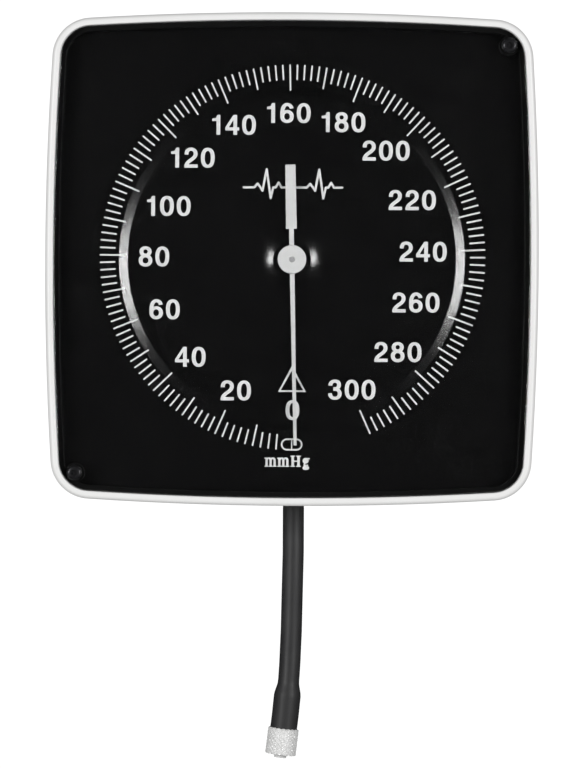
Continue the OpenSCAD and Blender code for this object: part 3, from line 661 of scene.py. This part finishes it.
def make_window():
    """The clear panel. The ring just inside its front edge keeps the round edge's shading off the flat."""
    back, front = window_lo.z, window_hi.z
    edge, r, support = 0.15, 0.45, 0.2
    profile = [(PANEL_HALF - edge, PANEL_R - edge, back), (PANEL_HALF, PANEL_R, back + edge)]
    for half, h in round_corner(r, PANEL_HALF - r, front - r, 0, 90, 6):
        profile.append((half, PANEL_R + half - PANEL_HALF, h))
    profile.append((PANEL_HALF - r - support, PANEL_R - r - support, front))
    verts, faces = loft([outline_ring(*p) for p in profile], cap=True)
    seat_r, mouth_r = 2.42, 2.64
    seat = front - FACE_SCREW_SINK
    hole = [(FACE_SCREW_HOLE_R, back - 1), (FACE_SCREW_HOLE_R, seat), (seat_r, seat), (seat_r, front - 0.22),
            (2.5, front - 0.1), (mouth_r, front), (mouth_r, front + 1)]
    cuts = [("DIFFERENCE", turned(hole, xy, 64)) for xy in screw_places()]
    return boolean(verts, faces, cuts)


place("window_pane", make_window(), MATERIALS["window_clear"], "case", ["window_panel"], 30)


def make_face_screws():
    """Black button screws with a hexagon socket."""
    n = 48
    low, rim = face_screw_lo.z, face_screw_hi.z
    seat = window_hi.z - FACE_SCREW_SINK
    socket_r, socket_depth, socket_chamfer = 0.95, 0.8, 0.1
    shank = [(0.9, low), (1.25, low + 0.4), (1.25, seat)]
    head = [(2.15, seat), (2.36, seat + 0.2), (2.36, seat + 0.45), (2.22, seat + 0.72), (1.95, seat + 0.94),
            (1.6, rim), (1.2, rim)]
    parts = []
    for cx, cy in screw_places():
        verts, faces = turned(shank + head, (cx, cy), n, cap=False)
        top = len(verts) - n
        base = len(verts)
        for h in (rim, rim - 0.12, rim - socket_depth):
            grow = socket_chamfer if h == rim else 0.0
            for i in range(n):
                a = 2 * math.pi * i / n
                k = math.cos(math.pi / 6) / math.cos((a + math.pi / 6) % (math.pi / 3) - math.pi / 6)
                r = socket_r * k + grow
                verts.append(at(cx + r * math.cos(a), cy + r * math.sin(a), h))
        for a, b in ((top, base), (base, base + n), (base + n, base + 2 * n)):
            faces += [(a + j, a + (j + 1) % n, b + (j + 1) % n, b + j) for j in range(n)]
        faces.append(tuple(range(base + 2 * n, base + 3 * n)))
        faces.append(tuple(range(n - 1, -1, -1)))
        parts.append((verts, faces))
    verts, faces = joined(*parts)
    return piece("face_screw_pair", verts, faces, MATERIALS["black_screw"], "black_screw", "case",
                 ["face_screws"], 30)


make_face_screws()


# ---- dial ----

DISH_FRONT = marks_lo.z
DISH_INNER = 51.6
DISH_OUTER = 54.4
DISH_RIM = 56.5
BOSS_TOP = 5.95
BOSS_FOOT = 11.3
BOSS_RISE = 1.07
HUB_HOLE_R = 2.0


def dial_surface(r):
    """Height of the dial's front at radius r."""
    if r >= DISH_OUTER:
        return DIAL_FRONT
    if r >= DISH_INNER:
        return DISH_FRONT + (DIAL_FRONT - DISH_FRONT) * (r - DISH_INNER) / (DISH_OUTER - DISH_INNER)
    if r >= BOSS_FOOT:
        return DISH_FRONT
    if r >= BOSS_TOP:
        return DISH_FRONT + BOSS_RISE * ((BOSS_FOOT - r) / (BOSS_FOOT - BOSS_TOP)) ** 2
    return DISH_FRONT + BOSS_RISE


def make_dial():
    """The dial plate: a raised boss, a flat dish, a sloped ring, and a square outline under the window."""
    outline = bowed_square(PANEL_HALF, PANEL_R)
    first = math.atan2(outline[0][1], outline[0][0])
    angles = [2 * math.pi * (i / len(outline)) + first for i in range(len(outline))]

    def ring(r, h):
        return [at(r * math.cos(a), r * math.sin(a), h) for a in angles]

    radii = [HUB_HOLE_R, BOSS_TOP - 0.25, BOSS_TOP - 0.08, BOSS_TOP]
    radii += [BOSS_TOP + (BOSS_FOOT - BOSS_TOP) * i / 14 for i in range(1, 15)]
    radii += [20, 35, 48, DISH_INNER - 0.15, DISH_INNER + 0.05]
    radii += [DISH_OUTER - 0.05, DISH_OUTER + 0.15, 58, 62]
    edge = 0.2
    rings = [ring(r, dial_surface(r)) for r in radii]
    rings += [outline_ring(PANEL_HALF - edge, PANEL_R - edge, DIAL_FRONT),
              outline_ring(PANEL_HALF, PANEL_R, DIAL_FRONT - edge),
              outline_ring(PANEL_HALF, PANEL_R, DIAL_BACK)]
    dish_back = DISH_FRONT - DIAL_T
    rings += [ring(DISH_RIM, DIAL_BACK), ring(DISH_RIM, dish_back), ring(HUB_HOLE_R, dish_back)]
    verts, faces = loft(rings, ring_of_rings=True)
    hole = [(FACE_SCREW_HOLE_R, DIAL_BACK - 1), (FACE_SCREW_HOLE_R, DIAL_FRONT + 1)]
    cuts = [("DIFFERENCE", turned(hole, xy, 32)) for xy in screw_places()]
    return boolean(verts, faces, cuts)


place("dial_face", make_dial(), MATERIALS["dial_black"], "case", ["dial_plate"], 12)


# ---- printing: flat shapes, merged and raised a little above the dial ----

# The printing sits a little right of and above the pointer's axis
PRINT_SHIFT = (0.2, 0.7)
PRINT_T = 0.05


def merged(polygons):
    """Triangles of the union of polygons, and the edges round it."""
    points, loops = [], []
    for polygon in polygons:
        loops.append(list(range(len(points), len(points) + len(polygon))))
        points += [Vector(p) for p in polygon]
    out, _, tris, _, _, sources = delaunay_2d_cdt(points, [], loops, 1, 1e-5)
    return [(p.x, p.y) for p in out], [tuple(t) for t, source in zip(tris, sources) if source]


def printed(polygons, height, thickness=PRINT_T, sink=0.01):
    """Verts and faces of the polygons' union as a thin closed layer on the surface height(x, y)."""
    points, tris = merged([moved(polygon, *PRINT_SHIFT) for polygon in polygons])
    n = len(points)
    verts = [at(x, y, height(x, y) + thickness) for x, y in points]
    verts += [at(x, y, height(x, y) - sink) for x, y in points]
    faces = list(tris) + [tuple(i + n for i in reversed(t)) for t in tris]
    directed = {}
    for t in tris:
        for i in range(3):
            directed[(t[i], t[(i + 1) % 3])] = True
    for a, b in directed:
        if (b, a) not in directed:
            faces.append((a, a + n, b + n, b))
    return verts, faces


def dial_height(x, y):
    """Height of the dial's front at a point."""
    return dial_surface(math.hypot(x, y))


def moved(polygon, x, y, size=1.0, turn=0.0):
    """A polygon turned, scaled and then shifted."""
    c, s = math.cos(turn), math.sin(turn)
    return [(x + size * (px * c - py * s), y + size * (px * s + py * c)) for px, py in polygon]


TICK_OUTER = 60.6
TICK_HALF = 0.25
LONG_TICK = 8.2
MIDDLE_TICK = 6.9
SHORT_TICK = 4.9


def tick_length(value):
    if value % NUMBER_STEP == 0:
        return LONG_TICK
    return MIDDLE_TICK if value % 10 == 0 else SHORT_TICK


def tick_polygons(length, angle):
    """A strip with round ends, in short pieces so that it follows the dial's slope."""
    outer, half = TICK_OUTER, TICK_HALF
    inner = outer - length
    count = math.ceil((length - 2 * half) / 0.3)
    stops = [outer - half - (length - 2 * half) * i / count for i in range(count + 1)]
    out = []
    for a, b in zip(stops, stops[1:]):
        out.append([(a, -half), (a, half), (b, half), (b, -half)])
    caps = [[(outer - half + half * math.cos(t), half * math.sin(t)) for t in
             [math.radians(-90 + 22.5 * i) for i in range(9)]],
            [(inner + half + half * math.cos(t), half * math.sin(t)) for t in
             [math.radians(90 + 22.5 * i) for i in range(9)]]]
    return [moved(p, 0, 0, 1, angle) for p in out + caps]


def stroke(points, pen, closed=False):
    """Quads of a line drawn with an elliptical pen: pen is its half width and half height."""
    a, b = pen
    n = len(points)
    sides = []
    for i in range(n):
        p = points[(i - 1) % n if closed else max(i - 1, 0)]
        q = points[(i + 1) % n if closed else min(i + 1, n - 1)]
        dx, dy = q[0] - p[0], q[1] - p[1]
        size = math.hypot(dx, dy)
        nx, ny = -dy / size, dx / size
        k = math.sqrt((a * nx) ** 2 + (b * ny) ** 2)
        ox, oy = a * a * nx / k, b * b * ny / k
        x, y = points[i]
        sides.append(((x + ox, y + oy), (x - ox, y - oy)))
    quads = []
    for i in range(n if closed else n - 1):
        (a1, a2), (b1, b2) = sides[i], sides[(i + 1) % n]
        quads.append([a2, b2, b1, a1])
    return quads


def oval(cx, cy, w, h, power=2.3, steps=44):
    """A superellipse about a centre, from its half width and half height."""
    out = []
    for i in range(steps):
        t = math.radians(360 * i / steps)
        c, s = math.cos(t), math.sin(t)
        out.append((cx + w * math.copysign(abs(c) ** (2 / power), c),
                    cy + h * math.copysign(abs(s) ** (2 / power), s)))
    return out


def bezier(*points, steps=12):
    """A chain of cubic curves: the first point, then three for each piece."""
    out = [points[0]]
    for k in range(0, len(points) - 1, 3):
        p = points[k:k + 4]
        for i in range(1, steps + 1):
            t = i / steps
            u = 1 - t
            out.append(tuple(u ** 3 * p[0][j] + 3 * u * u * t * p[1][j] + 3 * u * t * t * p[2][j]
                             + t ** 3 * p[3][j] for j in (0, 1)))
    return out


# Half width and half height of the pen that draws the digits
PEN = (0.098, 0.078)


def digit_shapes():
    """Polygons of each digit, one unit tall, from x 0."""
    shapes = {}
    shapes["0"] = stroke(oval(0.36, 0.5, 0.25, 0.425, 2.35), PEN, closed=True)
    shapes["1"] = [[(0.29, 0.0), (0.48, 0.0), (0.48, 1.0), (0.335, 1.0), (0.29, 0.93)],
                   [(0.335, 1.0), (0.315, 0.91), (0.265, 0.855), (0.18, 0.825), (0.08, 0.82),
                    (0.08, 0.69), (0.29, 0.69), (0.35, 0.75)]]
    shapes["2"] = stroke(bezier((0.135, 0.66), (0.135, 0.86), (0.22, 0.93), (0.36, 0.93),
                                (0.50, 0.93), (0.59, 0.84), (0.59, 0.70),
                                (0.59, 0.55), (0.47, 0.47), (0.35, 0.385),
                                (0.22, 0.29), (0.135, 0.22), (0.12, 0.06)), PEN)
    shapes["2"].append([(0.025, 0.0), (0.695, 0.0), (0.695, 0.165), (0.13, 0.165), (0.03, 0.10)])
    shapes["3"] = stroke(bezier((0.13, 0.70), (0.13, 0.85), (0.22, 0.93), (0.355, 0.93),
                                (0.48, 0.93), (0.565, 0.86), (0.565, 0.745),
                                (0.565, 0.62), (0.48, 0.55), (0.36, 0.55),
                                (0.34, 0.55), (0.32, 0.55), (0.28, 0.55)), PEN)
    shapes["3"] += stroke(bezier((0.28, 0.52), (0.32, 0.52), (0.34, 0.52), (0.37, 0.52),
                                 (0.51, 0.52), (0.60, 0.43), (0.60, 0.30),
                                 (0.60, 0.155), (0.50, 0.07), (0.355, 0.07),
                                 (0.20, 0.07), (0.115, 0.16), (0.115, 0.32)), PEN)
    shapes["4"] = [[(0.42, 0.0), (0.605, 0.0), (0.605, 1.0), (0.42, 1.0)],
                   [(0.015, 0.22), (0.71, 0.22), (0.71, 0.375), (0.015, 0.375)],
                   [(0.015, 0.375), (0.19, 0.375), (0.47, 0.83), (0.47, 1.0), (0.42, 1.0)],
                   [(0.015, 0.36), (0.19, 0.36), (0.19, 0.375), (0.015, 0.375)]]
    shapes["6"] = stroke(oval(0.365, 0.325, 0.24, 0.25, 2.1), PEN, closed=True)
    shapes["6"] += stroke(bezier((0.595, 0.73), (0.57, 0.86), (0.48, 0.93), (0.375, 0.93),
                                 (0.20, 0.93), (0.125, 0.73), (0.125, 0.50),
                                 (0.125, 0.45), (0.125, 0.40), (0.125, 0.33)), PEN)
    shapes["8"] = stroke(oval(0.36, 0.745, 0.205, 0.185, 2.15), PEN, closed=True)
    shapes["8"] += stroke(oval(0.36, 0.30, 0.245, 0.23, 2.15), PEN, closed=True)
    return shapes


DIGITS = digit_shapes()
DIGIT_H = 6.25
DIGIT_STEP = 5.28
DIGIT_MIDDLE = 0.36  # of a digit's height, from its left
ONE_KERN = 0.15  # what follows a leading 1 stands this much of a step closer

# Centre of each number in millimetres, before the printing's shift
NUMBERS = {
    20: (-17.7, -41.9), 40: (-32.0, -31.4), 60: (-40.2, -16.5), 80: (-43.6, 0.1), 100: (-38.8, 16.0),
    120: (-31.3, 31.2), 140: (-18.4, 41.6), 160: (-1.2, 45.4), 180: (16.0, 42.6), 200: (29.2, 33.7),
    220: (37.5, 18.2), 240: (41.0, 2.0), 260: (38.8, -14.0), 280: (33.2, -29.6), 300: (18.8, -41.5),
    0: (0.2, -48.0),
}

# Angle of each number in degrees, clockwise from zero, read to half a degree: the scale is a little uneven
SCALE_ANGLES = [0, 23.5, 46, 68, 90.5, 113, 135.5, 157, 179, 201, 223, 245, 267.5, 290.5, 312.5, 336]
NUMBER_STEP = 20
TICK_STEP = 2
FIRST_TICK = 4
TOP_VALUE = 300
ZERO_Y = -58.8
UNIT_LEFT, UNIT_BASE, UNIT_H = -8.55, -65.8, 3.5
PULSE_Y, PULSE_W = 22.0, 31.0


def scale_angle(value):
    """Degrees clockwise from zero, even between each number and the next."""
    step = min(int(value // NUMBER_STEP), len(SCALE_ANGLES) - 2)
    low, high = SCALE_ANGLES[step:step + 2]
    return low + (high - low) * (value / NUMBER_STEP - step)


def bar(x0, y0, x1, y1):
    """A rectangle between two corners."""
    return [(x0, y0), (x1, y0), (x1, y1), (x0, y1)]


def slant(foot, top, foot_w, top_w, low=0.0, high=1.0):
    """A leaning stroke, cut level at its foot and its top."""
    return [(foot, low), (foot + foot_w, low), (top + top_w, high), (top, high)]


def unit_polygons(left, base, size):
    """The unit under the scale, in small bold letters with serifs, one cap height to a unit."""
    out = []
    for x in (0.0, 1.14):
        for stem in (0.1, 0.46, 0.82):
            out += [bar(x + stem, 0, x + stem + 0.2, 0.66), bar(x + stem - 0.08, 0, x + stem + 0.27, 0.09)]
        out += [bar(x, 0.72, x + 0.3, 0.81), bar(x + 0.1, 0.6, x + 0.3, 0.81)]
        for arch in (0.2, 0.56):
            out += stroke(bezier((x + arch, 0.60), (x + arch + 0.08, 0.80), (x + arch + 0.33, 0.84),
                                 (x + arch + 0.36, 0.58)), (0.1, 0.075))
    x = 2.33
    for stem in (0.1, 0.62):
        out += [bar(x + stem, 0, x + stem + 0.23, 1), bar(x + stem - 0.1, 0, x + stem + 0.33, 0.09),
                bar(x + stem - 0.1, 0.91, x + stem + 0.33, 1)]
    out.append(bar(x + 0.3, 0.45, x + 0.7, 0.56))
    x = 3.42
    out += stroke(oval(x + 0.28, 0.55, 0.17, 0.20, 2.0), (0.1, 0.055), closed=True)
    out += stroke(oval(x + 0.30, -0.1, 0.22, 0.12, 2.2), (0.08, 0.06), closed=True)
    out += [bar(x + 0.44, 0.68, x + 0.66, 0.8), slant(x + 0.08, x + 0.13, 0.15, 0.15, 0.02, 0.40),
            bar(x + 0.1, 0.08, x + 0.5, 0.2)]
    return [moved(polygon, left, base, size) for polygon in out]


def pulse_polygons(centre, width):
    """A plain heartbeat line with one beat each side of the middle."""
    k = width / 12
    beat = [(-1.5, 0), (-1.1, 0.45), (-0.75, 0), (-0.5, -0.4), (0.0, 2.2), (0.5, -1.3), (0.8, 0), (1.1, 0),
            (1.45, 0.6), (1.8, 0)]
    line = [(-6, 0)] + [(x - 3.2, y) for x, y in beat] + [(x + 3.2, y) for x, y in beat] + [(6, 0)]
    out = []
    half = 0.13
    for (ax, ay), (bx, by) in zip(line, line[1:]):
        size = math.hypot(bx - ax, by - ay)
        ox, oy = -(by - ay) / size * half, (bx - ax) / size * half
        out.append([(ax - ox, ay - oy), (bx - ox, by - oy), (bx + ox, by + oy), (ax + ox, ay + oy)])
    for x, y in line:
        out.append([(x + half * math.cos(math.radians(30 * i)), y + half * math.sin(math.radians(30 * i)))
                    for i in range(12)])
    return [moved(polygon, centre[0], centre[1], k) for polygon in out]


def number_polygons(value, centre):
    """A number of the scale, upright about its centre."""
    text = str(value)
    width = DIGIT_STEP * (len(text) - 1)
    out = []
    for i, digit in enumerate(text):
        x = centre[0] - width / 2 + DIGIT_STEP * i - DIGIT_MIDDLE * DIGIT_H
        if text[0] == "1" and i:
            x -= ONE_KERN * DIGIT_STEP
        for polygon in DIGITS[digit]:
            out.append(moved(polygon, x, centre[1] - DIGIT_H / 2, DIGIT_H))
    return out


def zero_polygons():
    """The open capsule that marks zero, with a short upright line in it."""
    half_w, half_h, line = 3.4, 1.9, 0.5
    upright_w, upright_h = 0.18, 1.7
    r = half_h - line / 2
    stadium = []
    for side, start in ((1, -90), (-1, 90)):
        stadium += [(side * (half_w - half_h) + r * math.cos(math.radians(start + 15 * i)),
                     r * math.sin(math.radians(start + 15 * i)) + ZERO_Y) for i in range(13)]
    upright = bar(-upright_w, ZERO_Y - upright_h, upright_w, ZERO_Y + upright_h)
    return stroke(stadium, (line / 2, line / 2), closed=True) + [upright]


def triangle_polygons():
    """The open triangle that points away from zero: its two sides and its base."""
    tip, left, right = (0, -34.0), (-4.4, -42.3), (4.4, -42.3)
    inner_tip, inner_left, inner_right = (0, -35.5), (-3.5, -41.75), (3.5, -41.75)
    return [[tip, left, inner_left, inner_tip], [tip, inner_tip, inner_right, right],
            [left, right, inner_right, inner_left]]


def make_scale():
    """All the white print as one piece: ticks, zero mark, triangle, numbers, unit and heartbeat line."""
    prints = []
    for value in range(FIRST_TICK, TOP_VALUE + 1, TICK_STEP):
        angle = math.radians(-90 - scale_angle(value))
        prints.append(tick_polygons(tick_length(value), angle))
    prints += [zero_polygons(), triangle_polygons()]
    prints += [number_polygons(value, centre) for value, centre in NUMBERS.items()]
    prints += [unit_polygons(UNIT_LEFT, UNIT_BASE, UNIT_H), pulse_polygons((0.0, PULSE_Y), PULSE_W)]
    verts, faces = joined(*[printed(polygons, dial_height) for polygons in prints])
    return piece("scale_print", verts, faces, MATERIALS["print_white"], "print_white", "case",
                 ["dial_scale_marks"], 30)


make_scale()


# ---- pointer ----

def bevelled_plate(outline, low, high, bevel):
    """A flat plate with its front edge chamfered, from a counter-clockwise outline."""
    n = len(outline)
    inner = []
    for i in range(n):
        p, q, r = outline[i - 1], outline[i], outline[(i + 1) % n]
        d1 = Vector((q[0] - p[0], q[1] - p[1])).normalized()
        d2 = Vector((r[0] - q[0], r[1] - q[1])).normalized()
        n1, n2 = Vector((-d1.y, d1.x)), Vector((-d2.y, d2.x))
        m = n1 + n2
        m = m / max(0.5, m.dot(n1))
        inner.append((q[0] + m.x * bevel, q[1] + m.y * bevel))
    rings = [[at(x, y, low) for x, y in outline], [at(x, y, high - bevel) for x, y in outline],
             [at(x, y, high) for x, y in inner]]
    return loft(rings, cap=True)


# The pointer rests a little past zero
POINTER_LEAN = math.radians(1.25)
NEEDLE_LENGTH = 58.4
NEEDLE_TIP = 0.5  # half widths
NEEDLE_NECK = 0.75
BLOCK_START, BLOCK_END = 9.6, 29.8
BLOCK_FOOT, BLOCK_TOP = 1.7, 1.6
EYE_R = 3.0  # the round middle, under the hub
HUB_R = hub_hi.x
HUB_BORE_R = 1.5


def make_pointer():
    """The flat needle with its rectangular counterweight."""
    low, high = pointer_lo.z, pointer_hi.z
    neck = math.asin(NEEDLE_NECK / EYE_R)

    def arc(start, end, steps=16):
        turns = [start + (end - start) * i / steps for i in range(steps + 1)]
        return [(EYE_R * math.cos(t), EYE_R * math.sin(t)) for t in turns]

    outline = [(-NEEDLE_TIP, -NEEDLE_LENGTH + 0.05), (NEEDLE_TIP, -NEEDLE_LENGTH)]
    outline += arc(-math.pi / 2 + neck, math.pi / 2 - neck)
    outline += [(NEEDLE_NECK, BLOCK_START), (BLOCK_FOOT, BLOCK_START), (BLOCK_TOP, BLOCK_END),
                (-BLOCK_TOP, BLOCK_END), (-BLOCK_FOOT, BLOCK_START), (-NEEDLE_NECK, BLOCK_START)]
    outline += arc(math.pi / 2 + neck, 3 * math.pi / 2 - neck)
    outline = moved(outline, 0, 0, 1, POINTER_LEAN)
    verts, faces = bevelled_plate(outline, low, high, 0.12)
    bore = [("DIFFERENCE", turned([(HUB_BORE_R, low - 1), (HUB_BORE_R, high + 1)], (0, 0), 40))]
    return boolean(verts, faces, bore)


def make_hub():
    """The round cap on the needle, with the arbor's hole in its middle."""
    seat, front = pointer_hi.z, hub_hi.z
    r = 0.4
    hole = 0.8
    cap = [(hole, hub_lo.z), (HUB_BORE_R, hub_lo.z), (HUB_BORE_R, seat), (HUB_R - 0.1, seat),
           (HUB_R, seat + 0.1), (HUB_R, front - r)]
    cap += round_corner(r, HUB_R - r, front - r, 15, 90, 5)
    cap += [(1.05, front), (hole, front - 0.2)]
    return turned(cap, ring_of_rings=True)


place("pointer_blade", make_pointer(), MATERIALS["pointer_white"], "pointer",
      ["pointer"], 25)
piece("hub_cap", *make_hub(), MATERIALS["pointer_white"], "pointer_white", "pointer", ["pointer_hub"], 25)


# ---- floor, light and surroundings ----

FLOOR_R, FLOOR_Z = 5.0, -0.6
WORLD_SEEN = 1.1
WORLD_DIFFUSE = 0.42
WORLD_GLOSSY = 0.011


def make_floor():
    """A pale disc, out of the object's reflections."""
    n = Nodes("studio_floor")
    n.colour(n.mix(n.spread(n.noise(1.2, 3), 0.0, 1.0), (0.86, 0.86, 0.86), (0.84, 0.84, 0.84)))
    n.set(Roughness=0.8)
    turns = [2 * math.pi * i / 96 for i in range(96)]
    ring = [Vector((FLOOR_R * math.cos(a), FLOOR_R * math.sin(a), FLOOR_Z)) for a in turns]
    mesh = bpy.data.meshes.new("studio_floor")
    mesh.from_pydata([tuple(v) for v in ring], [], [tuple(range(96))])
    mesh.materials.append(n.material)
    obj = bpy.data.objects.new("studio_floor", mesh)
    scene.collection.objects.link(obj)
    obj.visible_glossy = False
    obj.visible_transmission = False


def make_world():
    """White where the camera sees it, soft for diffuse light, dim in reflections and through the window."""
    world = bpy.data.worlds.new("studio")
    scene.world = world
    world.use_nodes = True
    tree = world.node_tree
    back = tree.nodes["Background"]
    path = tree.nodes.new("ShaderNodeLightPath")
    seen = tree.nodes.new("ShaderNodeMix")
    shone = tree.nodes.new("ShaderNodeMix")
    for mix in (seen, shone):
        mix.data_type = "RGBA"
    for socket, level in ((shone.inputs["A"], WORLD_DIFFUSE), (shone.inputs["B"], WORLD_GLOSSY),
                          (seen.inputs["B"], WORLD_SEEN)):
        socket.default_value = (level, level, level, 1)
    either = tree.nodes.new("ShaderNodeMath")
    either.operation = "MAXIMUM"
    tree.links.new(path.outputs["Is Glossy Ray"], either.inputs[0])
    tree.links.new(path.outputs["Is Transmission Ray"], either.inputs[1])
    tree.links.new(either.outputs["Value"], shone.inputs["Factor"])
    tree.links.new(shone.outputs["Result"], seen.inputs["A"])
    tree.links.new(path.outputs["Is Camera Ray"], seen.inputs["Factor"])
    tree.links.new(seen.outputs["Result"], back.inputs["Color"])


def softbox(name, place_at, size, power, target=(0, -0.045, 0)):
    """A rectangular lamp aimed at the case, in metres and watts."""
    light = bpy.data.lights.new(name, "AREA")
    light.shape = "RECTANGLE"
    light.size, light.size_y = size
    light.energy = power
    obj = bpy.data.objects.new(name, light)
    scene.collection.objects.link(obj)
    obj.location = place_at
    obj.rotation_euler = (Vector(target) - Vector(place_at)).to_track_quat("-Z", "Y").to_euler()
    obj.visible_camera = False
    return obj


make_floor()
make_world()
softbox("left_softbox", (-0.82, -1.06, 0.09), (0.34, 0.42), 6.6)
softbox("right_softbox", (0.82, -1.06, 0.11), (0.31, 0.42), 6.4)

bpy.context.view_layer.update()
